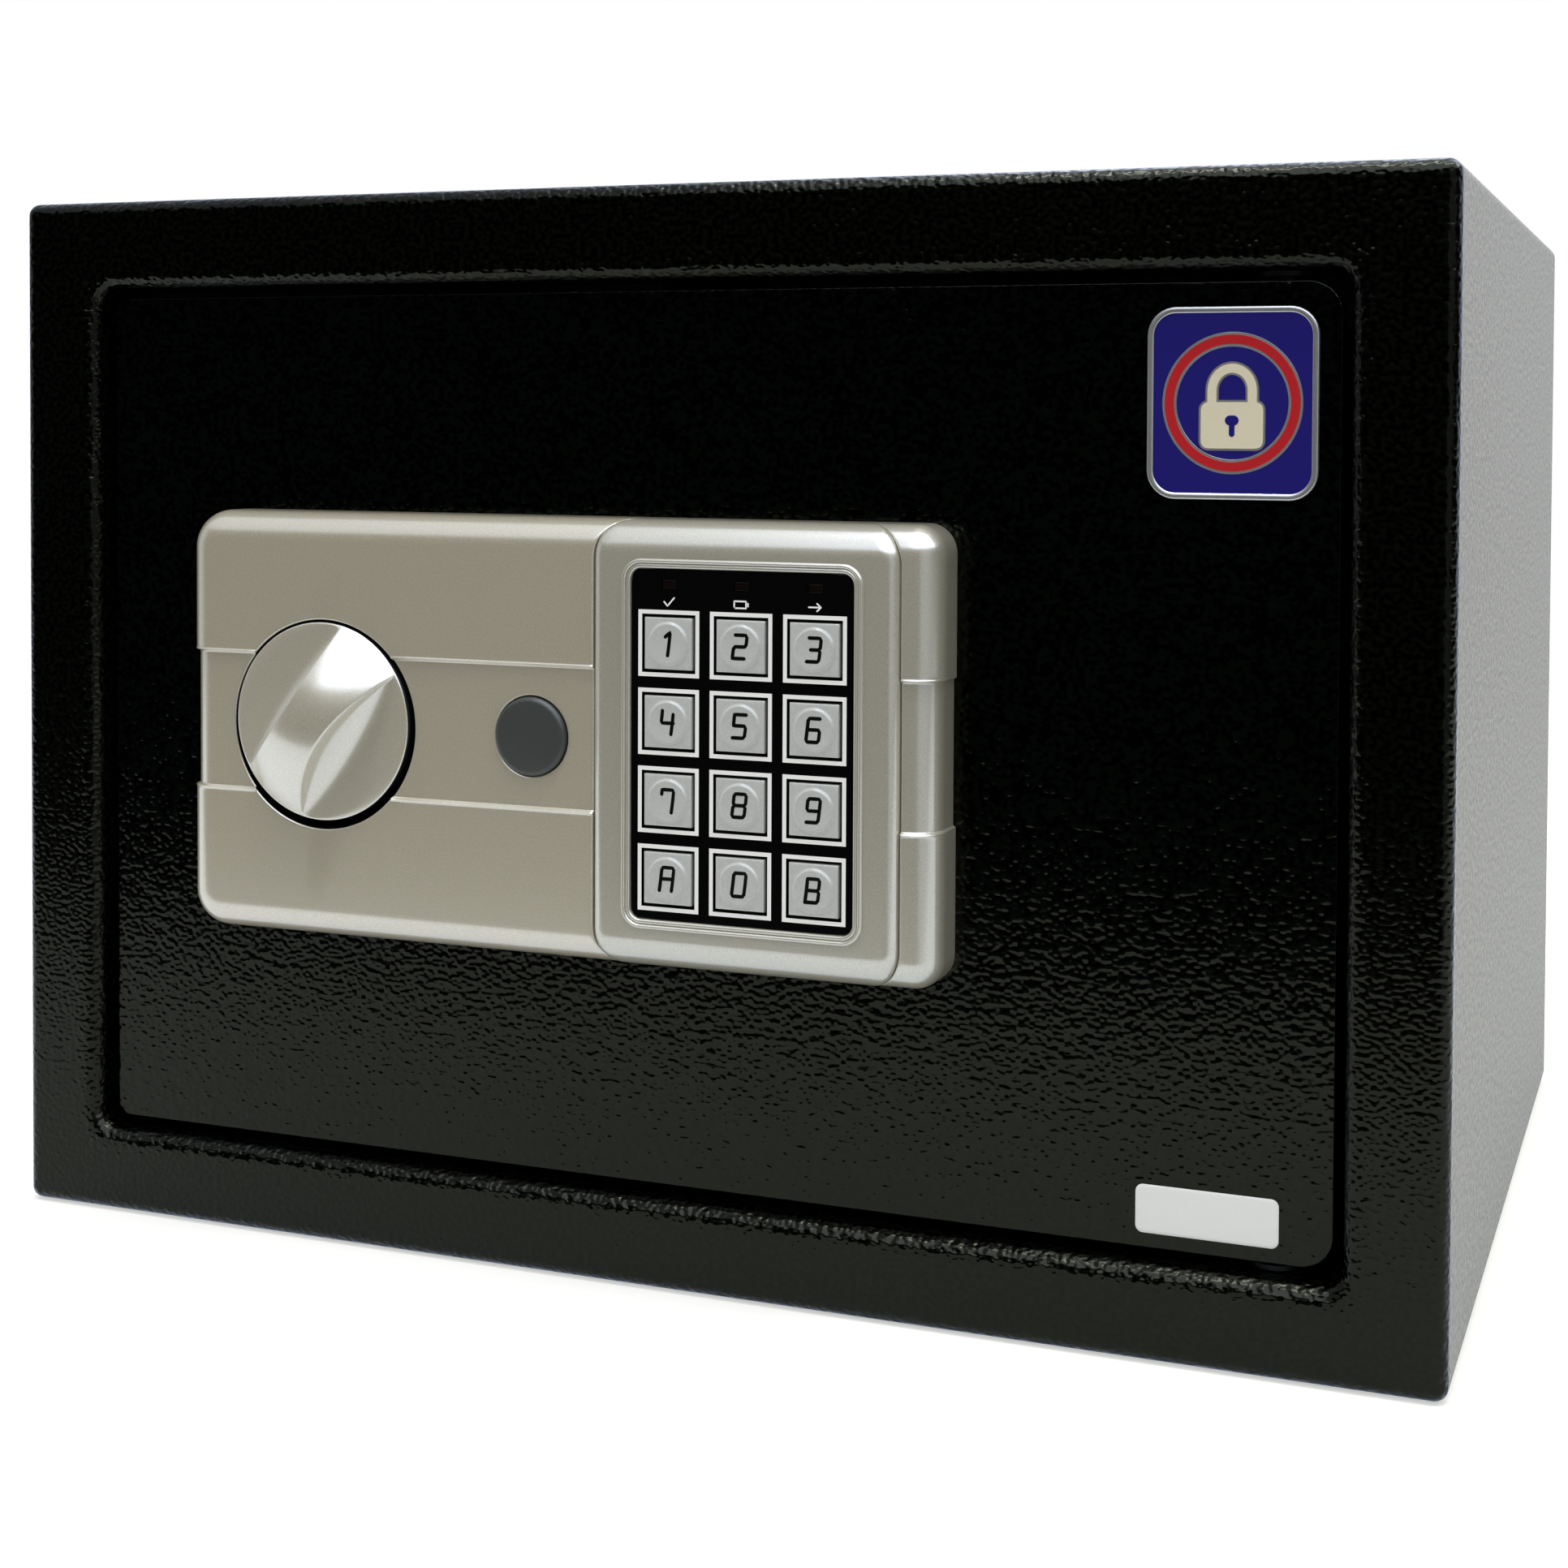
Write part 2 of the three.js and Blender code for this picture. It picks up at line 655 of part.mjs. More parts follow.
// Silver moulding: rounded front edges, recessed band, knob well, cap hole and the keypad's saddle
function lockFaceplate() {
  const [left, right] = [panelLeft, panelRight];
  const bandBlock = box(left - 1, right + 1, panelFace - 1, doorFace + 1,
    lockZ - bandHeight / 2, lockZ + bandHeight / 2);
  const band = cut(bandBlock, panelBlock(bandRecess));
  const saddle = slab(housingOutline(snug, panelFace - 1), housingOutline(snug, wellFloor));
  const tubeOuter = doorFace + 1;
  const hollow = box(left + panelWall + 1, housingX - housingWidth / 2 - panelWall, panelFace + panelWall,
    tubeOuter, panelZ - panelHeight / 2 + panelWall + 1, panelZ + panelHeight / 2 - panelWall - 1);
  const cavity = cut(common(hollow, panelBlock(panelWall)),
    rodY(wellRadius + panelWall, panelFace, tubeOuter + 1, knobX, lockZ, 32),
    rodY(capRadius + snug + panelWall, panelFace, tubeOuter + 1, capX, lockZ));
  return piece('lock_faceplate', cut(panelBlock(0), band, saddle, cavity,
    box(left, right, doorFace - seat, doorFace + 2, 0, cabinetHeight),
    rodY(wellRadius, panelFace - 2, wellFloor, knobX, lockZ, 48),
    rodY(spindleRadius + running, wellFloor - 1, doorFace + 1, knobX, lockZ),
    rodY(capRadius + snug, panelFace - 2, lockBodyFront, capX, lockZ),
    rodY(lockBodyRadius + snug, lockBodyFront - 1, doorFace + 1, capX, lockZ),
    rodY(loomHoleRadius, wellFloor - 1, doorFace + 1, housingX, lockZ)), finishes.silver());
}

// Knob: a disc with a waisted grip bar that arches from rim to rim and flares into the disc at its foot
function knobPiece() {
  const backFace = wellFloor - running * 2;
  const disc = turned([
    [0, backFace], [knobRadius, backFace], [knobRadius, knobFace + knobChamfer],
    [knobRadius - knobChamfer, knobFace], [0, knobFace]], 48);
  const sections = 12;
  const rings = Array.from({ length: sections + 1 }, (_, i) => {
    const along = 2 * i / sections - 1;
    const rise = 1 - along ** 2;
    const half = (gripWaist + (gripEnd - gripWaist) * along ** 2) / 2;
    const flare = gripFootWidth * rise + gripFootEdge;
    const right = [
      [half, gripHeight * rise], [half + gripFootEdge / 2, gripFootHeight * rise],
      [half + gripFootEdge / 2 + gripFootWidth * rise * 0.4, gripFootHeight * rise * 0.35],
      [half + flare, 0], [half + flare, -1]];
    const left = right.map(([x, height]) => [-x, height]).reverse();
    return [...left, ...right].map(([x, height]) =>
      new THREE.Vector3(x, knobFace - height, along * knobRadius));
  });
  const barrel = rodY(knobRadius - knobChamfer, knobFace - gripHeight - 1, knobFace + 2, 0, 0, 48);
  const grip = common(slab(...rings), barrel);
  const bore = rodY(spindleRadius + snug, backFace - spindleInKnob, backFace + 1, 0, 0);
  const mesh = piece('knob', cut(join(disc, grip), bore), finishes.silver());
  mesh.rotation.y = THREE.MathUtils.degToRad(gripAngle);
  return mesh;
}

function knobSpindle() {
  const start = wellFloor - running * 2 - spindleInKnob + seat;
  return piece('knob_spindle', rodY(spindleRadius, start, camBack + 1, 0, 0), finishes.steel());
}

// Teardrop cam with the pin that drives the carriage
function knobCam() {
  const lean = Math.asin((camHubRadius - camTipRadius) / crankRadius);
  const drop = new THREE.Shape();
  drop.absarc(0, 0, camHubRadius, Math.PI - lean, lean, false);
  drop.absarc(0, crankRadius, camTipRadius, lean, Math.PI - lean, false);
  const plate = sheetY(drop, camBack - camThickness, camBack, 8);
  const pin = rodY(drivePinRadius, camBack - 1, carriageBack + 2, 0, crankRadius, 24);
  const bore = rodY(spindleRadius + running, camBack - camThickness - 1, camBack + 1, 0, 0);
  const mesh = piece('knob_cam', cut(join(plate, pin), bore), finishes.zincSteel());
  mesh.rotation.y = restCrank;
  return mesh;
}

// Folded carriage: main sheet, bolt flange on the left and plunger flange on top
function boltCarriage() {
  const right = carriageLeft + carriageLength;
  const bend = 1.5;
  const side = new THREE.Shape();
  side.moveTo(carriageLeft, carriageBack - carriageFlange);
  side.lineTo(carriageLeft + carriageSheet, carriageBack - carriageFlange);
  side.lineTo(carriageLeft + carriageSheet, carriageFront - bend);
  side.absarc(carriageLeft + carriageSheet + bend, carriageFront - bend, bend, Math.PI, Math.PI / 2, true);
  side.lineTo(right, carriageFront);
  side.lineTo(right, carriageBack);
  side.lineTo(carriageLeft + carriageSheet + bend, carriageBack);
  side.absarc(carriageLeft + carriageSheet + bend, carriageBack - carriageSheet - bend,
    carriageSheet + bend, Math.PI / 2, Math.PI, false);
  const options = { depth: carriageHeight, bevelEnabled: false, curveSegments: 5 };
  const folded = new THREE.ExtrudeGeometry(side, options).translate(0, 0, carriageBottom);
  const topFlange = box(carriageLeft + carriageSheet + bend * 2, right, carriageBack - carriageFlange,
    carriageBack - 0.5, carriageTop - carriageSheet, carriageTop);
  const pinX = knobX + crankRadius * Math.sin(restCrank);
  const slotHalf = drivePinRadius + slotPlay;
  const slotLow = lockZ + crankRadius * Math.cos(restCrank) - slotHalf;
  const slotHigh = lockZ + crankRadius + slotHalf;
  const [y0, y1] = [carriageFront - 1, carriageBack + 1];
  const driveSlot = box(pinX - slotHalf, pinX + slotHalf, y0, y1, slotLow, slotHigh);
  const studHalf = studRadius + running * 1.5;
  const guideSlots = studPlaces.flatMap(([x, z]) => [
    box(x, x + boltThrow, y0, y1, z - studHalf, z + studHalf),
    rodY(studHalf, y0, y1, x, z, 20),
    rodY(studHalf, y0, y1, x + boltThrow, z, 20),
  ]);
  const plungerHoles = [0, boltThrow].map((shift) =>
    rodZ(plungerRadius + snug * 2, carriageTop - carriageSheet - 1, carriageTop + 1, plungerX + shift,
      plungerY));
  const spigotHoles = boltHeights.map((z) =>
    rodX(boltSpigotRadius + running, carriageLeft - 1, carriageLeft + carriageSheet + 1, boltY, z, 20));
  return piece('bolt_carriage', cut(join(folded, topFlange), driveSlot, ...guideSlots, ...plungerHoles,
    ...spigotHoles), finishes.zincSteel());
}

// Round bolt with a chamfered nose and a spigot riveted into the carriage
function bolt(name, z) {
  const shape = turned([
    [0, boltTip], [boltRadius - boltChamfer, boltTip], [boltRadius, boltTip + boltChamfer],
    [boltRadius, boltEnd], [boltSpigotRadius, boltEnd],
    [boltSpigotRadius, boltEnd + carriageSheet + 1.5], [0, boltEnd + carriageSheet + 1.5]], 24);
  shape.rotateZ(-Math.PI / 2).translate(0, boltY, z);
  return piece(name, shape, finishes.steel());
}

const studPlaces = [1, -1].map((side) => [knobX - studSetBack, lockZ + side * studSpacing / 2]);

function carriageStud(name, [x, z]) {
  const start = doorBack + seat;
  const head = carriageBack + running;
  const shape = turned([
    [0, start], [studHeadRadius, start], [studHeadRadius, start + studHeadThickness],
    [studRadius, start + studHeadThickness], [studRadius, head], [studHeadRadius, head],
    [studHeadRadius, head + studHeadThickness], [0, head + studHeadThickness]], 16);
  return piece(name, shape.translate(x, 0, z), finishes.steel());
}

// Open steel frame fixed to the door plate, with the coil between its legs
function solenoidFrame() {
  const left = plungerX - solenoidWidth / 2;
  const right = plungerX + solenoidWidth / 2;
  const y0 = doorBack + seat;
  const y1 = plungerY + solenoidCoilRadius + 1;
  const low = springTop + seat * 4;
  const high = low + solenoidHeight;
  const block = box(left, right, y0, y1, low, high);
  const room = box(left - 1, right + 1, y0 + solenoidSheet, y1 + 1, low + solenoidSheet,
    high - solenoidSheet);
  const bore = rodZ(plungerRadius + running, low - 1, high + 1, plungerX, plungerY);
  return piece('solenoid_frame', cut(block, room, bore), finishes.zincSteel());
}

function solenoidCoil() {
  const low = springTop + seat * 5 + solenoidSheet;
  const high = springTop + seat * 3 + solenoidHeight - solenoidSheet;
  const inner = plungerRadius + running;
  const flange = solenoidCoilRadius;
  const winding = flange - 1;
  const coil = turned([
    [inner, low], [flange, low], [flange, low + 1], [winding, low + 1], [winding, high - 1],
    [flange, high - 1], [flange, high], [inner, high], [inner, low]], 20);
  coil.rotateX(Math.PI / 2).translate(plungerX, plungerY, 0);
  return piece('solenoid_coil', coil, finishes.copper());
}

// Plunger: tip above the carriage's flange, collar for the spring, rod through the coil
function solenoidPlunger() {
  const tip = carriageTop + running * 2;
  const top = springTop + solenoidHeight + plungerAboveFrame;
  const collarLow = collarTop - plungerCollarThickness;
  const rod = turned([
    [0, tip], [plungerRadius - 0.5, tip], [plungerRadius, tip + 0.5], [plungerRadius, collarLow],
    [plungerCollarRadius, collarLow], [plungerCollarRadius, collarTop], [plungerRadius, collarTop],
    [plungerRadius, top], [0, top]], 16);
  rod.rotateX(Math.PI / 2).translate(plungerX, plungerY, 0);
  return piece('solenoid_plunger', rod, finishes.steel());
}

// Section of a tube with flat sides
function polygon(radius, sides) {
  return new THREE.Shape(Array.from({ length: sides }, (_, i) => {
    const angle = (i / sides) * Math.PI * 2;
    return new THREE.Vector2(radius * Math.cos(angle), radius * Math.sin(angle));
  }));
}

// Return spring: one round wire wound in a helix between the collar and the frame
function plungerSpring() {
  const stepsPerTurn = 8;
  const steps = springTurns * stepsPerTurn;
  const low = collarTop + springWireRadius + seat;
  const rise = springLength - 2 * springWireRadius - seat;
  const points = [];
  for (let step = 0; step <= steps; step++) {
    const angle = (step / steps) * springTurns * Math.PI * 2;
    points.push(new THREE.Vector3(plungerX + springRadius * Math.cos(angle),
      plungerY + springRadius * Math.sin(angle), low + rise * step / steps));
  }
  let leastGap = Infinity;
  points.forEach((point, i) => {
    for (const other of points.slice(i + stepsPerTurn / 2)) {
      leastGap = Math.min(leastGap, point.distanceTo(other) - 2 * springWireRadius);
    }
  });
  console.log(`plunger spring: least gap to itself ${leastGap.toFixed(2)} mm`);
  const geometry = new THREE.ExtrudeGeometry(polygon(springWireRadius, 5), {
    steps, bevelEnabled: false, extrudePath: new THREE.CatmullRomCurve3(points),
  });
  return piece('plunger_spring', geometry, finishes.steel());
}

// Override lock: fixed barrel with its nut, and the core that the key turns
function overrideLockHousing() {
  const start = lockBodyFront + seat;
  const end = start + lockBodyLength;
  const bore = coreRadius + running;
  const nut = doorBack + seat;
  const shape = turned([
    [bore, start], [lockBodyRadius, start], [lockBodyRadius, nut], [lockNutRadius, nut],
    [lockNutRadius, nut + lockNutThickness], [lockBodyRadius, nut + lockNutThickness],
    [lockBodyRadius, end], [bore, end], [bore, start]], 24);
  return piece('override_lock_housing', shape.translate(capX, 0, lockZ), finishes.brass());
}

function overrideCore() {
  const start = lockBodyFront + seat;
  const tail = start + lockBodyLength + running * 2;
  const barrel = rodY(coreRadius, start, tail + tailThickness, 0, 0, 24);
  const keyway = box(-keywayWidth / 2, keywayWidth / 2, start - 1, start + keywayDepth,
    -keywayHeight / 2, keywayHeight / 2);
  const lever = box(-tailWidth / 2, tailWidth / 2, tail, tail + tailThickness, -tailLength, 0);
  return piece('override_core', cut(join(barrel, lever), keyway), finishes.brass());
}

function overrideCap() {
  const top = bandFace - capProud;
  const inner = top + capThickness;
  const rounded = quarter(3).reverse().map((angle) => [
    capRadius - capEdge * (1 - Math.cos(angle)), top + 0.4 + capEdge * (1 - Math.sin(angle))]);
  const profile = [[0, top], [capRadius * 0.55, top + 0.12], ...rounded, [capRadius, inner], [0, inner]];
  return piece('override_cap', turned(profile, 32), finishes.capGrey());
}

const keyColumns = [-1, 0, 1].map((column) => housingX + column * keyPitch);
const keyRows = [1.5, 0.5, -0.5, -1.5].map((row) => keyRowsZ + row * keyPitch);

// Silver housing: rounded block with the double bead, the overlay's pocket, the window and the board's room
function keypadHousing() {
  const rings = quarter(3).reverse().map((angle) => {
    const inset = housingFillet * (1 - Math.cos(angle));
    return housingOutline(-inset, housingFace + housingFillet * (1 - Math.sin(angle)));
  });
  rings.push(housingOutline(0, wellFloor - seat));
  const ends = new THREE.Shape();
  const [low, high] = [panelZ - panelHeight / 2, panelZ + panelHeight / 2];
  const round = panelFillet + housingProud / 2;
  ends.moveTo(doorFace, low);
  ends.lineTo(housingFace + round, low);
  ends.absarc(housingFace + round, low + round, round, Math.PI * 1.5, Math.PI, true);
  ends.absarc(housingFace + round, high - round, round, Math.PI, Math.PI / 2, true);
  ends.lineTo(doorFace, high);
  const [x0, x1] = [housingX - housingWidth / 2, housingX + housingWidth / 2];
  const block = common(slab(...rings), barX(ends, x0 - 1, x1 + 1));
  const bead = (inner, outer, height) => {
    const ring = (offset, y) =>
      outline(overlayWidth + 2 * offset, overlayHeight + 2 * offset, overlayCorner + offset, y,
        [housingX, overlayZ]);
    const edge = (outer - inner) / 4;
    return hollowFrame(ring(inner, housingFace + 0.5), ring(outer, housingFace + 0.5),
      ring(outer, housingFace), ring(outer - edge, housingFace - height),
      ring(inner + edge, housingFace - height), ring(inner, housingFace));
  };
  const innerEdge = snug * 0.6;
  const outerStart = innerEdge + beadWidth;
  const pocket = slab(
    outline(overlayWidth + 2 * innerEdge, overlayHeight + 2 * innerEdge, overlayCorner, housingFace - 2,
      [housingX, overlayZ]),
    outline(overlayWidth + 2 * innerEdge, overlayHeight + 2 * innerEdge, overlayCorner, overlayBack + seat,
      [housingX, overlayZ]));
  const windowWidth = overlayWidth - 2 * overlayLand;
  const windowHeight = overlayHeight - 2 * overlayLand;
  const window = slab(
    outline(windowWidth, windowHeight, 1.5, housingFace - 1, [housingX, overlayZ]),
    outline(windowWidth, windowHeight, 1.5, doorFace, [housingX, overlayZ]));
  const room = slab(
    outline(housingWidth - 2 * housingWall, panelHeight - 2 * housingWall, housingCorner - housingWall,
      boardFront, [housingX, panelZ]),
    outline(housingWidth - 2 * housingWall, panelHeight - 2 * housingWall, housingCorner - housingWall,
      doorFace, [housingX, panelZ]));
  const beads = join(bead(innerEdge, outerStart, innerBeadHeight),
    bead(outerStart - 0.1, outerStart + beadWidth, outerBeadHeight));
  return piece('keypad_housing', cut(join(block, beads), pocket, window, room), finishes.silver());
}

function keypadOverlay() {
  const shape = roundedShape(THREE.Shape, overlayWidth, overlayHeight, overlayCorner, housingX, overlayZ);
  const windowSize = keySize + 2 * keyLine;
  for (const x of keyColumns) {
    for (const z of keyRows) {
      shape.holes.push(roundedShape(THREE.Path, windowSize, windowSize, keyCorner, x, z));
    }
    shape.holes.push(roundedShape(THREE.Path, lampWidth, lampHeight, lampCorner, x, lampZ));
  }
  return piece('keypad_overlay', sheetY(shape, overlayFace, overlayBack, 1), finishes.keypadBlack());
}

// Square key with an embossed round dome
function keypadKey(name, x, z) {
  const bevel = 0.2;
  const pad = slab(
    outline(keySize - 2 * bevel, keySize - 2 * bevel, keyCorner, keyFace, [x, z], 2),
    outline(keySize, keySize, keyCorner, keyFace + bevel, [x, z], 2),
    outline(keySize, keySize, keyCorner, keyBack, [x, z], 2));
  const dome = turned([
    [0, keyFace + 0.5], [domeRadius, keyFace + 0.5], [domeRadius, keyFace],
    [domeRadius - domeEdge, keyFace - domeHeight], [0, keyFace - domeHeight]], 20);
  return piece(name, join(pad, dome.translate(x, 0, z)), finishes.keyGrey());
}

function keypadBoard() {
  const width = housingWidth - 2 * housingWall - boardMargin;
  const height = panelHeight - 2 * housingWall - boardMargin;
  const board = slab(
    outline(width, height, housingCorner - housingWall, boardFront + seat, [housingX, panelZ], 3),
    outline(width, height, housingCorner - housingWall, boardFront + seat + boardThickness,
      [housingX, panelZ], 3));
  return piece('keypad_board', board, finishes.board());
}

function indicatorLamp(name, x) {
  const play = running / 2;
  const lamp = box(x - lampWidth / 2 + play, x + lampWidth / 2 - play, overlayFace + running, boardFront,
    lampZ - lampHeight / 2 + play, lampZ + lampHeight / 2 - play);
  return piece(name, lamp, finishes.lamp());
}

// Wires from the keypad board through the door to the solenoid, held along their whole way
function wiringLoom() {
  const start = boardFront + boardThickness + seat * 8;
  const coilSide = plungerX + solenoidCoilRadius + snug + loomRadius;
  const coilZ = springTop + solenoidHeight / 2;
  const behind = doorBack + loomRadius + loomStandOff;
  const places = [
    [housingX, start, lockZ], [housingX, wellFloor, lockZ], [housingX, doorBack, lockZ],
    [housingX - loomStandOff, behind, lockZ + loomRise],
    [housingX - loomBend, behind, (lockZ + coilZ) / 2],
    [(housingX + coilSide) / 2, behind, coilZ - loomRise / 2],
    [coilSide + loomBend, behind + 1, coilZ],
    [coilSide, plungerY, coilZ],
  ];
  const path = new THREE.CatmullRomCurve3(places.map((place) => new THREE.Vector3(...place)));
  const geometry = new THREE.ExtrudeGeometry(polygon(loomRadius, 8), {
    steps: 28, bevelEnabled: false, extrudePath: path,
  });
  return piece('wiring_loom', geometry, finishes.wire());
}

// Badge plate with a raised rim, and the small plain label
function doorBadge() {
  const place = badgePlace;
  const top = doorFace - seat - badgeThickness;
  const round = 0.3;
  const plate = slab(
    outline(badgeWidth - 2 * round, badgeHeight - 2 * round, badgeCorner - round, top, place),
    outline(badgeWidth, badgeHeight, badgeCorner, top + round, place),
    outline(badgeWidth, badgeHeight, badgeCorner, doorFace - seat, place));
  const field = (y) =>
    outline(badgeWidth - 2 * badgeRim, badgeHeight - 2 * badgeRim, badgeCorner - badgeRim, y, place);
  return piece('door_badge', cut(plate, slab(field(top - 1), field(top + badgePocket))), finishes.badge());
}

function doorLabel() {
  const place = labelPlace;
  const top = doorFace - seat - labelThickness;
  const label = slab(outline(labelWidth, labelHeight, labelCorner, top, place),
    outline(labelWidth, labelHeight, labelCorner, doorFace - seat, place));
  return piece('door_label', label, finishes.label());
}

const batteryBoxZ = lockZ;

function innerCover() {
  const margin = 1.2;
  const width = trayWidth - 2 * margin;
  const height = trayHeight - 2 * margin;
  const shape = roundedShape(THREE.Shape, width, height, trayCorner, 0, openingZ);
  shape.holes.push(roundedShape(THREE.Path, batteryBoxWidth + 2 * snug, batteryBoxHeight + 2 * snug, 1,
    batteryBoxX, batteryBoxZ));
  const [y0, y1] = [coverFront - 1, coverBack + 1];
  const screwHoles = coverScrewPlaces.map(([x, z]) => rodY(coverScrewRadius + running, y0, y1, x, z, 12));
  const plate = cut(sheetY(shape, coverFront, coverBack, 2), ...screwHoles,
    rodY(resetRadius + snug, y0, y1, resetX, resetZ));
  return piece('inner_cover', plate, finishes.blackFrame());
}

function coverScrew(name, [x, z]) {
  const head = coverBack + seat;
  const shape = turned([
    [0, head - screwLength], [coverScrewRadius, head - screwLength], [coverScrewRadius, head],
    [screwHeadRadius, head], [screwHeadRadius * 0.8, head + screwHeadHeight], [0, head + screwHeadHeight],
  ], 12);
  return piece(name, shape.translate(x, 0, z), finishes.steel());
}

// Plastic tub through the inner cover, with a flange and two rails for its sliding cover
function batteryBox() {
  const place = [batteryBoxX, batteryBoxZ];
  const flangeFront = coverBack + seat;
  const flangeBackY = flangeFront + batteryFlangeThickness;
  const floorY = flangeBackY - batteryBoxDepth;
  const tub = slab(outline(batteryBoxWidth, batteryBoxHeight, 1, floorY, place, 2),
    outline(batteryBoxWidth, batteryBoxHeight, 1, flangeBackY, place, 2));
  const flangeWidth = batteryBoxWidth + 2 * batteryFlange;
  const flangeHeight = batteryBoxHeight + 2 * batteryFlange;
  const flange = slab(outline(flangeWidth, flangeHeight, 2, flangeFront, place, 2),
    outline(flangeWidth, flangeHeight, 2, flangeBackY, place, 2));
  const railTop = lidFront + batteryLid + running;
  const rails = [-1, 1].map((side) => {
    const edge = batteryBoxZ + side * (flangeHeight / 2 - batteryRail / 2);
    return box(batteryBoxX - flangeWidth / 2, batteryBoxX + flangeWidth / 2, flangeBackY - 0.5, railTop,
      edge - batteryRail / 2, edge + batteryRail / 2);
  });
  const inner = (y) => outline(batteryBoxWidth - 2 * batteryBoxWall, batteryBoxHeight - 2 * batteryBoxWall,
    0.5, y, place, 2);
  const room = slab(inner(floorY + batteryBoxWall), inner(flangeBackY + 1));
  return piece('battery_box', cut(join(tub, flange, ...rails), room), finishes.blackPlastic());
}

function battery(name, index) {
  const half = batteryLength / 2;
  const shape = turned([
    [0, -half], [batteryRadius - 0.5, -half], [batteryRadius, -half + 0.5], [batteryRadius, half - 0.5],
    [batteryRadius - 0.5, half], [batteryNubRadius, half], [batteryNubRadius, half + batteryNub],
    [0, half + batteryNub]], 16);
  const facing = index % 2 === 0 ? 1 : -1;
  const boxFront = coverBack + seat + batteryFlangeThickness - batteryBoxDepth;
  const y = boxFront + batteryBoxWall + batteryRadius + running;
  const z = batteryBoxZ + (index - (batteryCount - 1) / 2) * batteryPitch;
  shape.rotateZ(-facing * Math.PI / 2).translate(batteryBoxX, y, z);
  return piece(name, shape, finishes.battery());
}

// Cover of the battery box, which slides in the rails towards the hinge
function batteryCover() {
  const width = batteryBoxWidth + 2 * batteryFlange;
  const height = batteryBoxHeight + 2 * (batteryFlange - batteryRail) - 2 * snug;
  const [x0, x1] = [batteryBoxX - width / 2, batteryBoxX + width / 2];
  const [z0, z1] = [batteryBoxZ - height / 2, batteryBoxZ + height / 2];
  const lid = box(x0, x1, lidFront, lidFront + batteryLid, z0, z1);
  const ribs = Array.from({ length: lidRibs }, (_, i) => {
    const x = x0 + (i + 2) * lidRibPitch;
    return box(x, x + lidRibPitch / 3, lidFront + batteryLid - 0.5, lidFront + batteryLid + 0.5,
      z0 + lidRibMargin, z1 - lidRibMargin);
  });
  return piece('battery_cover', join(lid, ...ribs), finishes.blackPlastic());
}

function resetButton() {
  const flangeTop = coverFront - seat;
  const shape = turned([
    [0, flangeTop - resetTravel], [resetFlange, flangeTop - resetTravel], [resetFlange, flangeTop],
    [resetRadius, flangeTop], [resetRadius, coverBack + resetProud - 0.5],
    [resetRadius - 0.5, coverBack + resetProud], [0, coverBack + resetProud]], 16);
  return piece('reset_button', shape.translate(resetX, 0, resetZ), finishes.red());
}

function placed(x, z, ...meshes) {
  const holder = new THREE.Group();
  holder.position.set(x, 0, z);
  holder.add(...meshes);
  return holder;
}

const cabinet = new THREE.Group();
cabinet.add(cabinetWrap(), backPanel(), frontFrame(), floorMat(),
  hingeBracket('hinge_bracket_upper', 1), hingeBracket('hinge_bracket_lower', -1));

const keypad = new THREE.Group();
keypad.add(keypadHousing(), keypadOverlay(), keypadBoard());
const keyNames = [['1', '2', '3'], ['4', '5', '6'], ['7', '8', '9'], ['a', '0', 'b']];
keyNames.forEach((row, rowIndex) => row.forEach((name, column) => {
  keypad.add(keypadKey(`key_${name}`, keyColumns[column], keyRows[rowIndex]));
}));
keyColumns.forEach((x, i) => keypad.add(indicatorLamp(`indicator_lamp_${i + 1}`, x)));

const knobGroup = placed(knobX, lockZ, knobPiece(), knobSpindle(), knobCam());

const boltWork = new THREE.Group();
boltWork.add(boltCarriage(), bolt('bolt_upper', boltHeights[0]), bolt('bolt_lower', boltHeights[1]));

const solenoid = new THREE.Group();
solenoid.add(solenoidFrame(), solenoidCoil(), solenoidPlunger(), plungerSpring());

const overrideLock = new THREE.Group();
overrideLock.add(overrideLockHousing(), placed(capX, lockZ, overrideCore(), overrideCap()));

const door = new THREE.Group();
door.add(doorPlateSolid(), doorTray(), hingePin('hinge_pin_upper', 1), hingePin('hinge_pin_lower', -1),
  lockFaceplate(), keypad, knobGroup, boltWork, solenoid, overrideLock, doorBadge(), doorLabel(),
  innerCover(), batteryBox(), batteryCover(), resetButton(), wiringLoom(),
  carriageStud('carriage_stud_upper', studPlaces[0]), carriageStud('carriage_stud_lower', studPlaces[1]));
coverScrewPlaces.forEach((place, i) => door.add(coverScrew(`cover_screw_${i + 1}`, place)));
for (let i = 0; i < batteryCount; i++) door.add(battery(`battery_${i + 1}`, i));

const group = new THREE.Group();
group.add(cabinet, door);

export default group;
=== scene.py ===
"""The hotel safe as it looks.

The pieces of the front are surfaces of two parameters, built in the CAD frame. The grey body, the indicator
lamps and everything inside keep their CAD shape, most of them with narrow bevels.

Lengths are millimetres, and Shell.build turns them into metres. Only shader nodes, floor, lights and camera
are set up in metres. X is to the right, Y into the safe, Z up, and the door side faces -Y.
"""
import math

import bmesh
import bpy
import numpy as np
from mathutils import Matrix, Vector

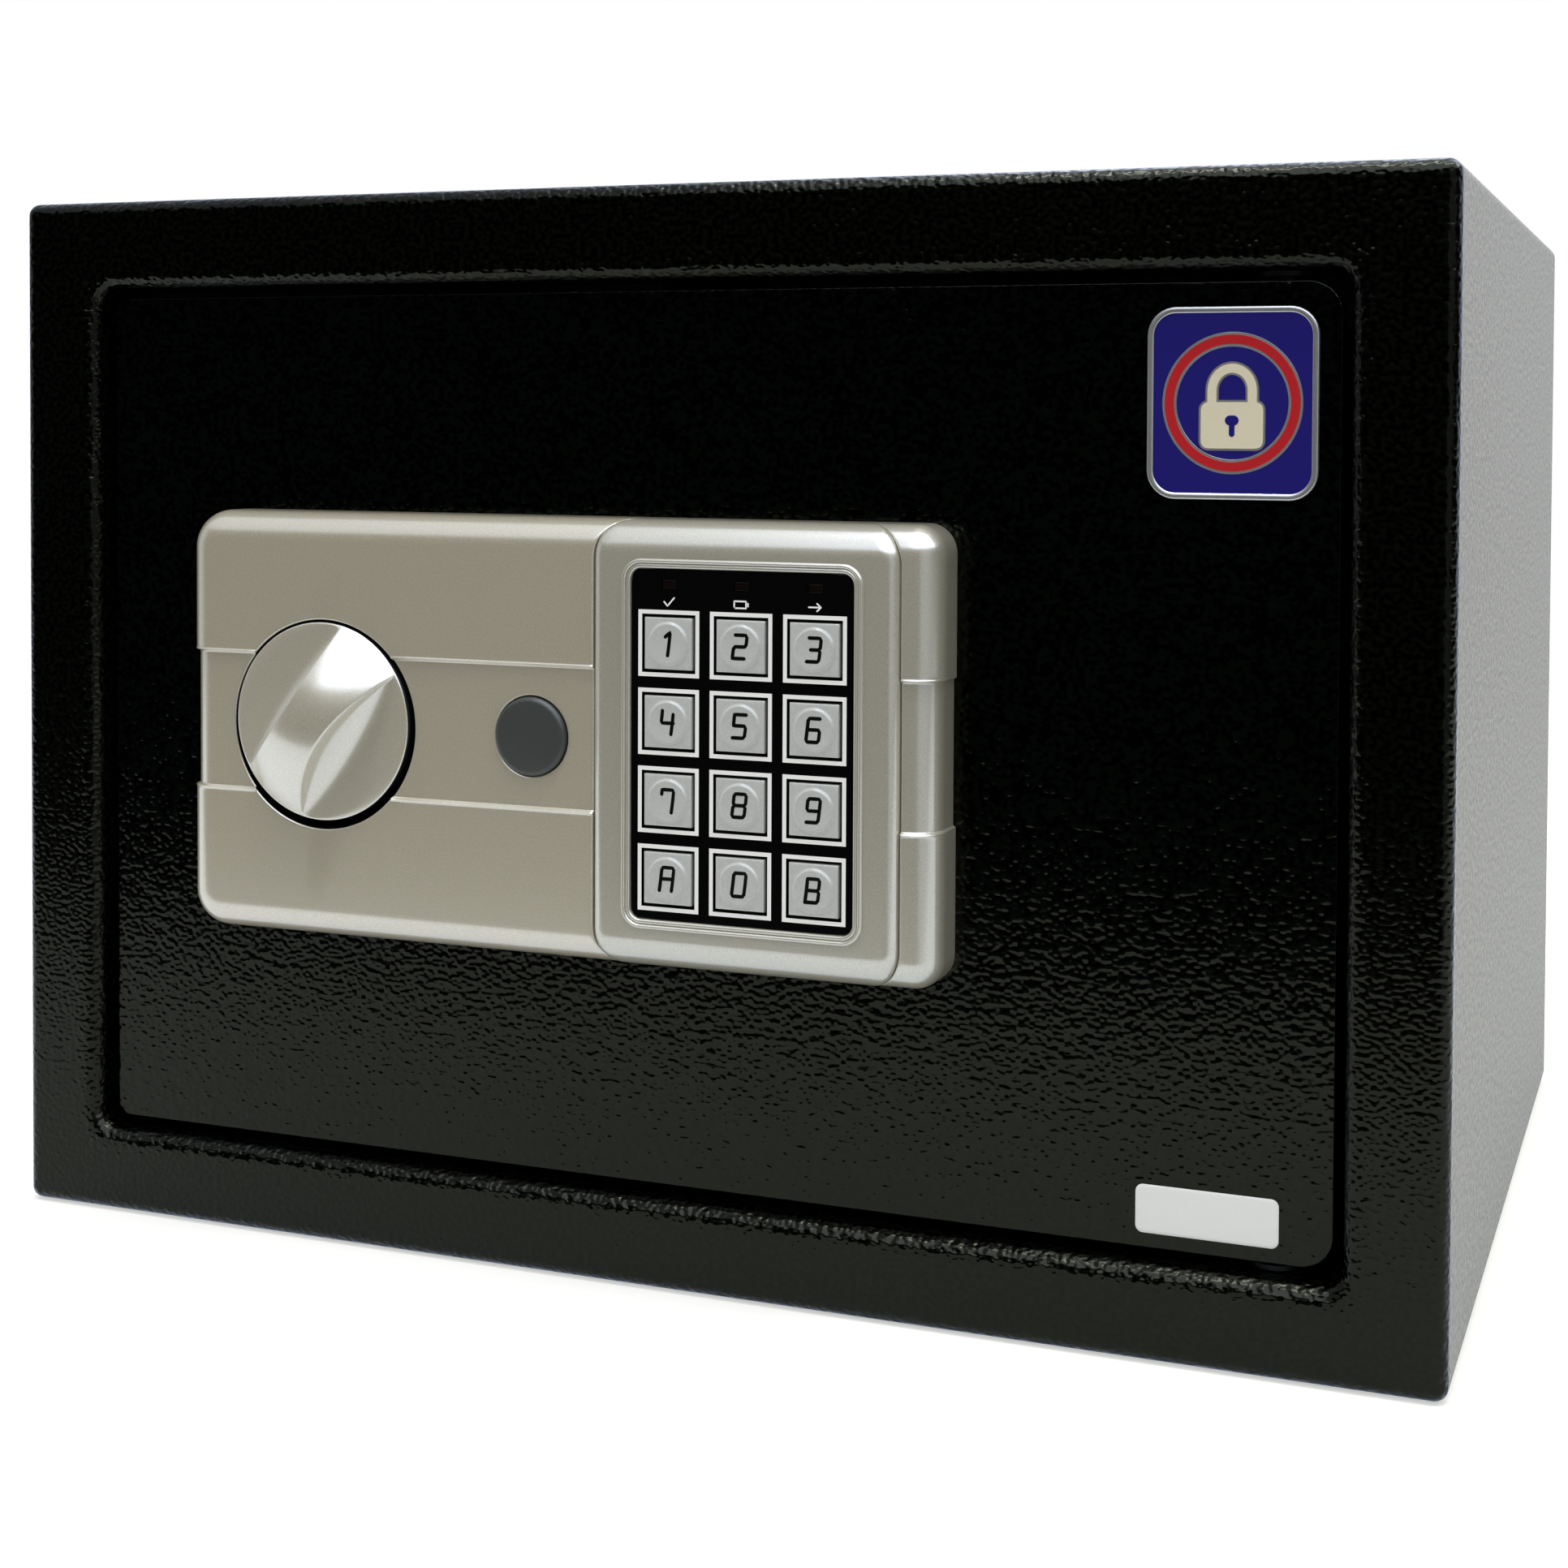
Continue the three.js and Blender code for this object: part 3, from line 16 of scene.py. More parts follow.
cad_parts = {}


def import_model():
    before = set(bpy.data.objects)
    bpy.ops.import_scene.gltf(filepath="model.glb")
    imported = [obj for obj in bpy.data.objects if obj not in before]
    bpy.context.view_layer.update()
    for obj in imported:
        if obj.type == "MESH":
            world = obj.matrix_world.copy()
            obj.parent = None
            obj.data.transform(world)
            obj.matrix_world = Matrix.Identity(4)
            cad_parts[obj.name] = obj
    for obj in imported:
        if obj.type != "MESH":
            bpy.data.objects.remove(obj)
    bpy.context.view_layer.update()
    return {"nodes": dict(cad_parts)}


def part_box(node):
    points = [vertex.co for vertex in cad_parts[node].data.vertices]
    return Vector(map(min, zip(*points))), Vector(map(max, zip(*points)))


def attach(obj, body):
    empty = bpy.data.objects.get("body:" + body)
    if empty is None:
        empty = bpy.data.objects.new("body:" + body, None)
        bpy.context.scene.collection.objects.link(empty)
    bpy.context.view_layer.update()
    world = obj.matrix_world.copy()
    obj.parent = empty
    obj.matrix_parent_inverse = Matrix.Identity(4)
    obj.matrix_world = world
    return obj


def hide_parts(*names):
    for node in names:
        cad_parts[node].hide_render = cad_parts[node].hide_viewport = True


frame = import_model()
scene = bpy.context.scene
MM = 0.001

# Mesh tools

MERGED, CAD_MERGED, DEGENERATE = 2e-7, 1e-6, 1e-8  # metres
FLAT_ANGLE = 0.6  # degrees between CAD triangles of one flat face
CORNER_STEPS, SMALLEST_CORNER, TURNED_STEPS = 10, 0.02, 72


def limits(node):
    """Lowest and highest corner of a CAD node."""
    lo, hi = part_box(node)
    return np.array(lo) / MM, np.array(hi) / MM


def front_view(lo, hi):
    """(width, height) and centre (x, z) of a box seen from the front."""
    return (hi - lo)[[0, 2]], ((lo + hi) / 2)[[0, 2]]


class Shell:
    """Grids of points that together make the closed skin of one piece."""

    def __init__(self):
        self.points = []
        self.faces = []
        self.count = 0

    def grid(self, p, around_u=False, around_v=False):
        """p[i, j] is a point; neighbours make quads, also across the ends where around_u or around_v."""
        nu, nv = p.shape[:2]
        ids = self.count + np.arange(nu * nv).reshape(nu, nv)
        if around_u:
            ids = np.vstack([ids, ids[:1]])
        if around_v:
            ids = np.hstack([ids, ids[:, :1]])
        quads = np.stack([ids[:-1, :-1], ids[1:, :-1], ids[1:, 1:], ids[:-1, 1:]], axis=-1).reshape(-1, 4)
        self.points.append(p.reshape(-1, 3))
        self.faces.extend(quads.tolist())
        self.count += nu * nv

    def fan(self, ring):
        """Closes a ring of points with one flat face."""
        self.points.append(ring)
        self.faces.append((self.count + np.arange(len(ring))).tolist())
        self.count += len(ring)

    def column(self, rings):
        """A closed body through rings, with a flat face at the first and the last."""
        self.grid(np.stack(rings), around_v=True)
        self.fan(rings[0])
        self.fan(rings[-1])

    def build(self, name, material, body, slot, nodes=(), angle=40.0):
        """One object from the grids: shared points merged, faces turned outward, edges over angle sharp."""
        mesh = bpy.data.meshes.new(name)
        mesh.from_pydata(np.vstack(self.points) * MM, [], self.faces)
        bm = bmesh.new()
        bm.from_mesh(mesh)
        bmesh.ops.remove_doubles(bm, verts=bm.verts, dist=MERGED)
        bmesh.ops.dissolve_degenerate(bm, edges=bm.edges, dist=DEGENERATE)
        bmesh.ops.recalc_face_normals(bm, faces=bm.faces)
        bm.to_mesh(mesh)
        bm.free()
        finish_mesh(mesh, name, material, body, nodes, angle)


def finish_mesh(mesh, name, material, body, nodes, angle):
    """Puts a mesh in the scene with its material, its body and the CAD nodes it stands for."""
    mesh.polygons.foreach_set("use_smooth", [True] * len(mesh.polygons))
    mesh.set_sharp_from_angle(angle=math.radians(angle))
    obj = bpy.data.objects.new(name, mesh)
    scene.collection.objects.link(obj)
    mesh.materials.append(material)
    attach(obj, body)
    if nodes:
        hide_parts(*nodes)
    return obj


def polished(node, material, body, bevel, angle=34.0):
    """A merged copy of a CAD node, its flat faces joined and its sharp edges softened by bevel, none at 0."""
    mesh = frame["nodes"][node].data.copy()
    bm = bmesh.new()
    bm.from_mesh(mesh)
    bmesh.ops.remove_doubles(bm, verts=bm.verts, dist=CAD_MERGED)
    bmesh.ops.dissolve_limit(bm, angle_limit=math.radians(FLAT_ANGLE), verts=bm.verts, edges=bm.edges)
    bm.to_mesh(mesh)
    bm.free()
    mesh.materials.clear()
    obj = finish_mesh(mesh, "look_" + node, material, body, (node,), angle)
    if bevel:
        soft = obj.modifiers.new("edge", "BEVEL")
        soft.width = bevel * MM
        soft.segments = 2
        soft.limit_method = "ANGLE"
        soft.angle_limit = math.radians(angle)
        soft.use_clamp_overlap = True
        soft.harden_normals = True


def arc(steps, start=0.0, end=90.0):
    """Angles in radians, evenly from start to end degrees."""
    return np.radians(np.linspace(start, end, steps))


def rounded(extent, radius, centre, inset=0.0):
    """Points (x, z) round a rectangle of (width, height) extent with rounded corners, all drawn in by inset;
    radius is one value or (right, left)."""
    half = extent / 2 - inset
    right, left = radius if isinstance(radius, tuple) else (radius, radius)
    out = []
    for k, (sx, sz) in enumerate([(1, 1), (-1, 1), (-1, -1), (1, -1)]):
        r = max((right if sx > 0 else left) - inset, SMALLEST_CORNER)
        a = arc(CORNER_STEPS, 90.0 * k, 90.0 * (k + 1))
        out.append(np.stack([centre[0] + sx * (half[0] - r) + r * np.cos(a),
                             centre[1] + sz * (half[1] - r) + r * np.sin(a)], axis=-1))
    return np.vstack(out)


def at_depth(ring, y):
    """Ring of (x, z) points set at depth y, a number or one value per point."""
    return np.stack([ring[:, 0], np.broadcast_to(y, len(ring)), ring[:, 1]], axis=-1)


def slab(name, rings, *rest, **more):
    """A solid block through rings from front to back."""
    shell = Shell()
    shell.column(rings)
    shell.build(name, *rest, **more)


def hoop(name, rings, *rest, **more):
    """A hollow frame whose section is walked once round by rings."""
    shell = Shell()
    shell.grid(np.stack(rings), around_u=True, around_v=True)
    shell.build(name, *rest, **more)


def circle(steps):
    """Points (x, z) round a circle of radius 1."""
    a = np.linspace(0.0, 2 * math.pi, steps, endpoint=False)
    return np.stack([np.cos(a), np.sin(a)], axis=-1)


def turned_y(profile, centre):
    """Rings of a body turned about an axis along Y through centre (x, z); profile holds (radius, y)."""
    return [at_depth(centre + r * circle(TURNED_STEPS), y) for r, y in profile]


def smooth(t):
    """Rise from 0 to 1 with level ends: 3 t^2 - 2 t^3."""
    t = np.clip(t, 0.0, 1.0)
    return t * t * (3 - 2 * t)


def fillet(d, r):
    """Depth below the face at distance d inside an edge rounded with radius r."""
    t = np.clip(1.0 - np.clip(d, 0.0, r) / r, 0.0, 1.0)
    return r * (1.0 - np.sqrt(1.0 - t * t))


# Shading tools

def add(tree, kind, inputs=(), **settings):
    """A node with its settings and inputs; an input is a value or an output socket to link."""
    node = tree.nodes.new(kind)
    for key, value in settings.items():
        setattr(node, key, value)
    for key, value in dict(inputs).items():
        if isinstance(value, bpy.types.NodeSocket):
            tree.links.new(value, node.inputs[key])
        else:
            node.inputs[key].default_value = value
    return node


def maths(tree, operation, *values):
    """Output of a Math node."""
    return add(tree, "ShaderNodeMath", dict(enumerate(values)), operation=operation).outputs[0]


def ramp(tree, value, start, end, low=0.0, high=1.0, kind="SMOOTHSTEP"):
    """Goes from low to high while value goes from start to end."""
    node = add(tree, "ShaderNodeMapRange", {"Value": value, "From Min": start, "From Max": end, "To Min": low,
                                            "To Max": high}, interpolation_type=kind)
    return node.outputs[0]


def mix_color(tree, factor, first, second):
    """Colour between first and second; each is an output socket or three values."""
    first, second = [c if isinstance(c, bpy.types.NodeSocket) else (*c, 1.0) for c in (first, second)]
    return add(tree, "ShaderNodeMix", {"Factor": factor, 6: first, 7: second}, data_type="RGBA").outputs[2]


def mix_value(tree, factor, first, second):
    """Value between first and second."""
    return add(tree, "ShaderNodeMix", {"Factor": factor, 2: first, 3: second}, data_type="FLOAT").outputs[0]


def noise_group(name, output, detail, roughness, spots=None):
    """Node group: noise between 0 and 1, Scale lumps a metre; spots = (low, high) sharpens it to specks."""
    tree = bpy.data.node_groups.new(name, "ShaderNodeTree")
    tree.interface.new_socket("Vector", in_out="INPUT", socket_type="NodeSocketVector")
    tree.interface.new_socket("Scale", in_out="INPUT", socket_type="NodeSocketFloat")
    tree.interface.new_socket(output, in_out="OUTPUT", socket_type="NodeSocketFloat")
    given, end = tree.nodes.new("NodeGroupInput").outputs, tree.nodes.new("NodeGroupOutput")
    noise = add(tree, "ShaderNodeTexNoise", {"Vector": given["Vector"], "Scale": given["Scale"],
                                             "Detail": detail, "Roughness": roughness})
    value = ramp(tree, noise.outputs[0], *spots) if spots else noise.outputs[0]
    tree.links.new(value, end.inputs[output])
    return tree


WRINKLE = noise_group("wrinkle", "Height", detail=0.0, roughness=0.5)
GRAIN = noise_group("grain", "Value", detail=2.0, roughness=0.6)
SPECKLE = noise_group("speckle", "Value", detail=3.0, roughness=0.7, spots=(0.36, 0.64))


def place_group(tree, group, vector, scale):
    """Output of one of the noise groups at vector."""
    node = add(tree, "ShaderNodeGroup", node_tree=group)
    tree.links.new(vector, node.inputs["Vector"])
    node.inputs["Scale"].default_value = scale
    return node.outputs[0]


def new_material(name, color, roughness, metallic=0.0, **sockets):
    """A Principled material; returns (material, tree, shader, Object coordinates)."""
    mat = bpy.data.materials.new(name)
    mat.use_nodes = True
    tree = mat.node_tree
    shader = tree.nodes["Principled BSDF"]
    shader.inputs["Base Color"].default_value = (*color, 1.0)
    shader.inputs["Roughness"].default_value = roughness
    shader.inputs["Metallic"].default_value = metallic
    for key, value in sockets.items():
        shader.inputs[key.replace("_", " ")].default_value = value
    coords = add(tree, "ShaderNodeTexCoord").outputs["Object"]
    return mat, tree, shader, coords


def axes(tree, coords):
    """X, Y and Z outputs of Object coordinates."""
    return add(tree, "ShaderNodeSeparateXYZ", {"Vector": coords}).outputs


def tint(tree, shader, value, dark, light):
    """Base colour between dark and light by value."""
    color = mix_color(tree, value, dark, light)
    tree.links.new(color, shader.inputs["Base Color"])
    return color


def bump(tree, shader, height, distance):
    """Bump of height times distance, in metres."""
    node = add(tree, "ShaderNodeBump", {"Height": height, "Distance": distance})
    tree.links.new(node.outputs[0], shader.inputs["Normal"])


# Finishes

UNLIT = (0.004, 0.004, 0.004)
PRINT_WHITE, PRINT_BLACK = (0.9, 0.91, 0.89), (0.002, 0.002, 0.002)


def black_paint(name, scale, depth, roughness, light=(0.0010, 0.0020, 0.0013), edges=()):
    """Wrinkled black enamel. Its colour is painted shade and light of the wrinkles: black in the valleys and
    light on the tops. The wrinkles are deeper close to the outlines in edges, each (centre, half extent,
    reach, extra depth) of a rectangle on the XZ plane."""
    mat, tree, shader, coords = new_material(name, light, roughness, Specular_IOR_Level=0.20,
                                             Specular_Tint=(1.0, 1.0, 0.72, 1.0))
    stretched = add(tree, "ShaderNodeMapping", {"Vector": coords, "Scale": (0.83, 1.0, 1.0)})
    height = place_group(tree, WRINKLE, stretched.outputs[0], scale)
    # Painted shade and light: the base colour runs from black in the wrinkles' valleys to light on their
    # tops.
    tint(tree, shader, ramp(tree, height, 0.42, 0.62, kind="LINEAR"), (0.0, 0.0, 0.0), light)
    total = depth * MM
    for centre, half, reach, extra in edges:
        parts = axes(tree, coords)
        away = [maths(tree, "SUBTRACT", maths(tree, "ABSOLUTE", maths(
            tree, "SUBTRACT", parts[axis], float(c) * MM)), float(h) * MM)
            for axis, c, h in zip("XZ", centre, half)]
        off = maths(tree, "ABSOLUTE", maths(tree, "MAXIMUM", *away))
        total = maths(tree, "ADD", total, ramp(tree, off, 0.0, reach * MM, extra * MM, 0.0))
    bump(tree, shader, height, total)
    return mat


def silver_lacquer(name, color, roughness=0.32, metallic=0.36, shadow=None):
    """Silver lacquer with a fine grain. shadow = (centre, radius, operation) leaves what lies nearer to the
    centre than radius (LESS_THAN) or farther (GREATER_THAN) black, for the unlit walls of the knob's gap."""
    mat, tree, shader, coords = new_material(name, color, roughness, metallic, Coat_Weight=1.0,
                                             Coat_Roughness=0.16, Coat_IOR=2.2)
    fine = place_group(tree, GRAIN, coords, 3300.0)
    shade = tint(tree, shader, fine, [c * 0.7 for c in color], [c * 1.3 for c in color])
    bump(tree, shader, fine, 0.012 * MM)
    if shadow:
        centre, radius, operation = shadow
        parts = axes(tree, coords)
        squares = []
        for axis, c in zip("XZ", centre):
            off = maths(tree, "SUBTRACT", parts[axis], float(c) * MM)
            squares.append(maths(tree, "MULTIPLY", off, off))
        away = maths(tree, "SQRT", maths(tree, "ADD", *squares))
        black = maths(tree, operation, away, radius * MM)
        bare = maths(tree, "SUBTRACT", 1.0, black)
        tree.links.new(mix_color(tree, black, shade, UNLIT), shader.inputs["Base Color"])
        tree.links.new(maths(tree, "MULTIPLY", bare, metallic), shader.inputs["Metallic"])
        tree.links.new(bare, shader.inputs["Coat Weight"])
    return mat


def grey_coat():
    """Light grey powder coat with small darker and lighter specks, stretched in depth."""
    mat, tree, shader, coords = new_material("grey_coat", (0.30, 0.287, 0.238), 0.5, Specular_IOR_Level=0.22)
    stretched = add(tree, "ShaderNodeMapping", {"Vector": coords, "Scale": (1.0, 0.5, 1.0)})
    spots = place_group(tree, SPECKLE, stretched.outputs[0], 800.0)
    tint(tree, shader, spots, (0.215, 0.206, 0.170), (0.385, 0.368, 0.306))
    bump(tree, shader, spots, 0.06 * MM)
    return mat


def plain(name, color, roughness, metallic=0.0, spread=0.12, scale=1500.0, depth=0.006, **sockets):
    """One colour, varied by spread with a fine grain of depth."""
    mat, tree, shader, coords = new_material(name, color, roughness, metallic, **sockets)
    fine = place_group(tree, GRAIN, coords, scale)
    tint(tree, shader, fine, [c * (1 - spread) for c in color], [min(c * (1 + spread), 1.0) for c in color])
    bump(tree, shader, fine, depth * MM)
    return mat


def cell_distance(tree, coordinate, centre, pitch, count):
    """Distance in metres from coordinate to the nearest of count places spaced pitch about centre."""
    away = maths(tree, "DIVIDE", maths(tree, "SUBTRACT", coordinate, centre * MM), pitch * MM)
    shift = maths(tree, "ADD", away, (count - 1) / 2)
    index = maths(tree, "MINIMUM", maths(tree, "MAXIMUM", maths(tree, "ROUND", shift), 0.0), count - 1.0)
    return maths(tree, "MULTIPLY", maths(tree, "ABSOLUTE", maths(tree, "SUBTRACT", shift, index)), pitch * MM)


def keypad_print(columns, rows, pitch, inner, outer):
    """Black face with a white square frame round each key window, by distance to the nearest key."""
    mat, tree, shader, coords = new_material("keypad_print", PRINT_BLACK, 0.12, Specular_IOR_Level=0.3)
    parts = axes(tree, coords)
    away = maths(tree, "MAXIMUM", *[
        cell_distance(tree, parts[axis], float(np.mean(places)), pitch, len(places))
        for axis, places in (("X", columns), ("Z", rows))])
    inside = maths(tree, "LESS_THAN", away, outer * MM)
    outside = maths(tree, "GREATER_THAN", away, inner * MM)
    tint(tree, shader, maths(tree, "MULTIPLY", inside, outside), PRINT_BLACK, PRINT_WHITE)
    return mat


DOOR_PAINT = black_paint("door_paint", 920.0, 0.16, 0.13)
SILVER = silver_lacquer("silver_lacquer", (0.53, 0.505, 0.405))
KEY_GREY = plain("key_grey", (0.52, 0.535, 0.515), 0.28, Coat_Weight=0.5, Coat_Roughness=0.08)
INK = plain("ink", PRINT_BLACK, 0.4, Specular_IOR_Level=0.1)
WHITE_INK = plain("white_ink", PRINT_WHITE, 0.5)
CAP_GREY = plain("cap_grey", (0.040, 0.045, 0.039), 0.42, spread=0.08)
LABEL = plain("label_paper", (0.80, 0.82, 0.80), 0.45, spread=0.03)
BADGE_RIM = plain("badge_rim", (0.6, 0.59, 0.56), 0.3, 0.8, spread=0.05)
BADGE_BLUE = plain("badge_blue", (0.010, 0.007, 0.17), 0.25, spread=0.05)
BADGE_RED = plain("badge_red", (0.50, 0.012, 0.018), 0.22, spread=0.05, Coat_Weight=0.5)
BADGE_CREAM = plain("badge_cream", (0.72, 0.66, 0.49), 0.35, spread=0.05)

# Pieces that keep their CAD shape: the materials of their slots, then bevel, body and slot of the nodes

SLOT_MATERIALS = {
    "grey_body": grey_coat(),
    "black_frame": black_paint("inner_paint", 700.0, 0.10, 0.35),
    "steel": plain("turned_steel", (0.55, 0.56, 0.57), 0.3, 1.0, spread=0.06),
    "zinc_steel": plain("zinc_plate", (0.56, 0.54, 0.44), 0.36, 1.0, spread=0.18, scale=420.0),
    "felt": plain("felt", (0.05, 0.053, 0.06), 0.95, spread=0.5, scale=1400.0, depth=0.25),
    "lamp": plain("lens", (0.006, 0.003, 0.0025), 0.14, Specular_IOR_Level=0.3),
    "board": plain("board_mask", (0.003, 0.009, 0.005), 0.45),
    "copper": plain("winding", (0.42, 0.16, 0.06), 0.35, 0.8, spread=0.3, scale=1800.0),
    "brass": plain("brass", (0.6, 0.44, 0.2), 0.3, 1.0, spread=0.08),
    "black_plastic": plain("black_plastic", (0.02, 0.021, 0.022), 0.5, depth=0.03),
    "battery": plain("cell_jacket", (0.05, 0.12, 0.2), 0.3, 0.4),
    "red": plain("red_plastic", (0.42, 0.012, 0.012), 0.3),
    "wire": plain("wire_sleeve", (0.02, 0.02, 0.022), 0.45),
}
# Steel hinge pins in near black: painted shade, so they are as dark as the shaded door gap they stand in.
PIN_GAP_SHADE = plain("steel_pin_painted_gap_shade", (0.006, 0.006, 0.006), 0.55, 0.3)
BODY_BEVEL, PLATE_BEVEL, SMALL_BEVEL = 0.2, 0.18, 0.15

for bevel, body, slot, nodes in (
        (PLATE_BEVEL, "cabinet", "zinc_steel", ["hinge_bracket_upper", "hinge_bracket_lower"]),
        (0.6, "cabinet", "felt", ["floor_mat"]),
        (BODY_BEVEL, "door", "black_frame", ["door_tray", "inner_cover"]),
        (SMALL_BEVEL, "door", "steel", ["carriage_stud_upper", "carriage_stud_lower",
                                        *(f"cover_screw_{n}" for n in range(1, 5))]),
        (BODY_BEVEL, "door", "battery", [f"battery_{n}" for n in range(1, 5)]),
        (0.25, "door", "lamp", [f"indicator_lamp_{n}" for n in range(1, 4)]),
        (PLATE_BEVEL, "door", "zinc_steel", ["solenoid_frame"]),
        (SMALL_BEVEL, "door", "copper", ["solenoid_coil"]),
        (PLATE_BEVEL, "door", "brass", ["override_lock_housing"]),
        (0.1, "door", "board", ["keypad_board"]),
        (PLATE_BEVEL, "door", "black_plastic", ["battery_box"]),
        (PLATE_BEVEL, "battery_cover", "black_plastic", ["battery_cover"]),
        (BODY_BEVEL, "reset_button", "red", ["reset_button"]),
        (PLATE_BEVEL, "plunger", "steel", ["solenoid_plunger"]),
        (0.1, "override_core", "brass", ["override_core"]),
        (PLATE_BEVEL, "knob", "steel", ["knob_spindle"]),
        (PLATE_BEVEL, "knob", "zinc_steel", ["knob_cam"]),
        (PLATE_BEVEL, "bolt_work", "zinc_steel", ["bolt_carriage"]),
        (BODY_BEVEL, "bolt_work", "steel", ["bolt_upper", "bolt_lower"])):
    for node in nodes:
        polished(node, SLOT_MATERIALS[slot], body, bevel)
for node in ("cabinet_wrap", "back_panel"):
    polished(node, SLOT_MATERIALS["grey_body"], "cabinet", BODY_BEVEL, angle=40.0)
for node in ("hinge_pin_upper", "hinge_pin_lower"):
    polished(node, PIN_GAP_SHADE, "door", SMALL_BEVEL)
for node, slot in (("wiring_loom", "wire"), ("plunger_spring", "steel")):
    polished(node, SLOT_MATERIALS[slot], "door", bevel=0.0, angle=60.0)

# Front frame and door plate

FRAME_LO, FRAME_HI = limits("front_frame")
DOOR_LO, DOOR_HI = limits("door_plate")
FRAME_SIZE, FRAME_CENTRE = front_view(FRAME_LO, FRAME_HI)
DOOR_SIZE, DOOR_CENTRE = front_view(DOOR_LO, DOOR_HI)
DOOR_GAP = 2.4
OPENING = DOOR_SIZE + 2 * DOOR_GAP
EDGE, ROLL, SHEET, MOUTH_CORNER = 3.0, 3.5, 2.0, 4.5
LEVEL_RING = 0.6  # flat ring inside a rounded edge, which keeps the big face's shading level
FRAME_EDGES = ((DOOR_CENTRE, OPENING / 2 + ROLL * 0.4, 5.0, 0.16), (FRAME_CENTRE, FRAME_SIZE / 2, 4.0, 0.10))
FRAME_PAINT = black_paint("frame_paint", 920.0, 0.18, 0.16, (0.0017, 0.0024, 0.0014), FRAME_EDGES)


def front_frame():
    """Section walked once round: rim, quarter round of radius 3, flat border, roll of radius 3.5 into the
    opening, return flange, and the same line back inside the 2 mm sheet."""
    front, seam, back = FRAME_LO[1], FRAME_LO[1] + 4.0, FRAME_HI[1]

    def rim(inset, y):
        return at_depth(rounded(FRAME_SIZE, EDGE, FRAME_CENTRE, inset), y)

    def mouth(offset, y):
        return at_depth(rounded(OPENING, MOUTH_CORNER, DOOR_CENTRE, -offset), y)

    rings = [rim(0.0, seam)]
    rings += [rim(EDGE * (1 - math.cos(a)), front + EDGE * (1 - math.sin(a))) for a in arc(9)]
    rings += [rim(EDGE + LEVEL_RING, front), mouth(ROLL + LEVEL_RING, front)]
    rings += [mouth(ROLL * (1 - math.sin(a)), front + ROLL * (1 - math.cos(a))) for a in arc(11)]
    rings += [mouth(0.0, back), mouth(SHEET, back)]
    inner = ROLL - SHEET
    rings += [mouth(ROLL - inner * math.sin(a), front + ROLL - inner * math.cos(a)) for a in arc(5)[::-1]]
    rings += [rim(EDGE, front + SHEET), rim(SHEET, front + EDGE), rim(SHEET, seam)]
    hoop("look_front_frame", rings, FRAME_PAINT, "cabinet", "black_frame", ("front_frame",), angle=50)


def door_plate():
    """Rectangle with its front edge rounded by 0.3 mm and smaller corners at the left."""
    front, edge = DOOR_LO[1], 0.3
    right, left = corner = (7.0, 3.5)
    rings = [at_depth(rounded(DOOR_SIZE - 2 * (edge + LEVEL_RING), (right - LEVEL_RING, left - LEVEL_RING),
                              DOOR_CENTRE), front)]
    rings += [at_depth(rounded(DOOR_SIZE - 2 * edge * (1 - math.cos(a)), corner, DOOR_CENTRE),
                       front + edge * (1 - math.sin(a))) for a in arc(6)[::-1]]
    rings.append(at_depth(rounded(DOOR_SIZE, corner, DOOR_CENTRE), DOOR_HI[1]))
    slab("look_door_plate", rings, DOOR_PAINT, "door", "black_frame", ("door_plate",), angle=50)


front_frame()
door_plate()

# Lock panel

PANEL_LO, PANEL_HI = limits("lock_faceplate")
KNOB_LO, KNOB_HI = limits("knob")
CAP_LO, CAP_HI = limits("override_cap")
HOUSING_LO, HOUSING_HI = limits("keypad_housing")
HOUSING_SIZE, HOUSING_CENTRE = front_view(HOUSING_LO, HOUSING_HI)
PANEL_FILLET, PANEL_LEFT_CORNER, PANEL_RIGHT_CORNER = 6.5, 9.0, 6.5
PANEL_BACK = PANEL_HI[1]
BAND_HALF, BAND_DEPTH, BAND_STEP = 16.1, 0.6, 0.6
LIP_HEIGHT, LIP_OFFSET, LIP_WIDTH = 0.2, 0.35, 0.26
KNOB_X = (KNOB_LO[0] + KNOB_HI[0]) / 2
CAP_X, LOCK_Z = front_view(CAP_LO, CAP_HI)[1]
KNOB_RADIUS, CAP_RADIUS = 23.3, (CAP_HI[0] - CAP_LO[0]) / 2
WELL_RADIUS, CAP_HOLE = 24.5, CAP_RADIUS + 0.25
WELL_FLOOR = DOOR_LO[1] - 2.0
CAP_FLOOR = limits("override_lock_housing")[0][1] + 0.06
RIM = 0.45
HOUSING_CORNER, SADDLE_GAP, SADDLE_ROUND = 8.5, 0.25, 0.5
SADDLE_PLACES = np.array([0.7, 0.45, 0.28, 0.14, 0.06, 0.0])
DISC_CENTRE = np.array([KNOB_X - 0.1, LOCK_Z + 0.75])  # the disc sits a little high in its well
PANEL_SILVER = silver_lacquer("panel_lacquer", (0.60, 0.552, 0.420),
                              shadow=((KNOB_X, LOCK_Z), WELL_RADIUS + 0.02, "LESS_THAN"))
KNOB_SILVER = silver_lacquer("knob_lacquer", (0.64, 0.60, 0.475), 0.33, 0.40,
                             shadow=(DISC_CENTRE, KNOB_RADIUS - 0.14, "GREATER_THAN"))


def band(z):
    """Depth of the recessed band at height z: 0 outside it, BAND_DEPTH inside, with short rounded steps and
    outside each step a low lip, exp(-u^2)."""
    away = BAND_HALF - np.abs(z - LOCK_Z)
    lip = LIP_HEIGHT * np.exp(-((away + LIP_OFFSET) / LIP_WIDTH) ** 2)
    return BAND_DEPTH * smooth(away / BAND_STEP + 0.5) - lip


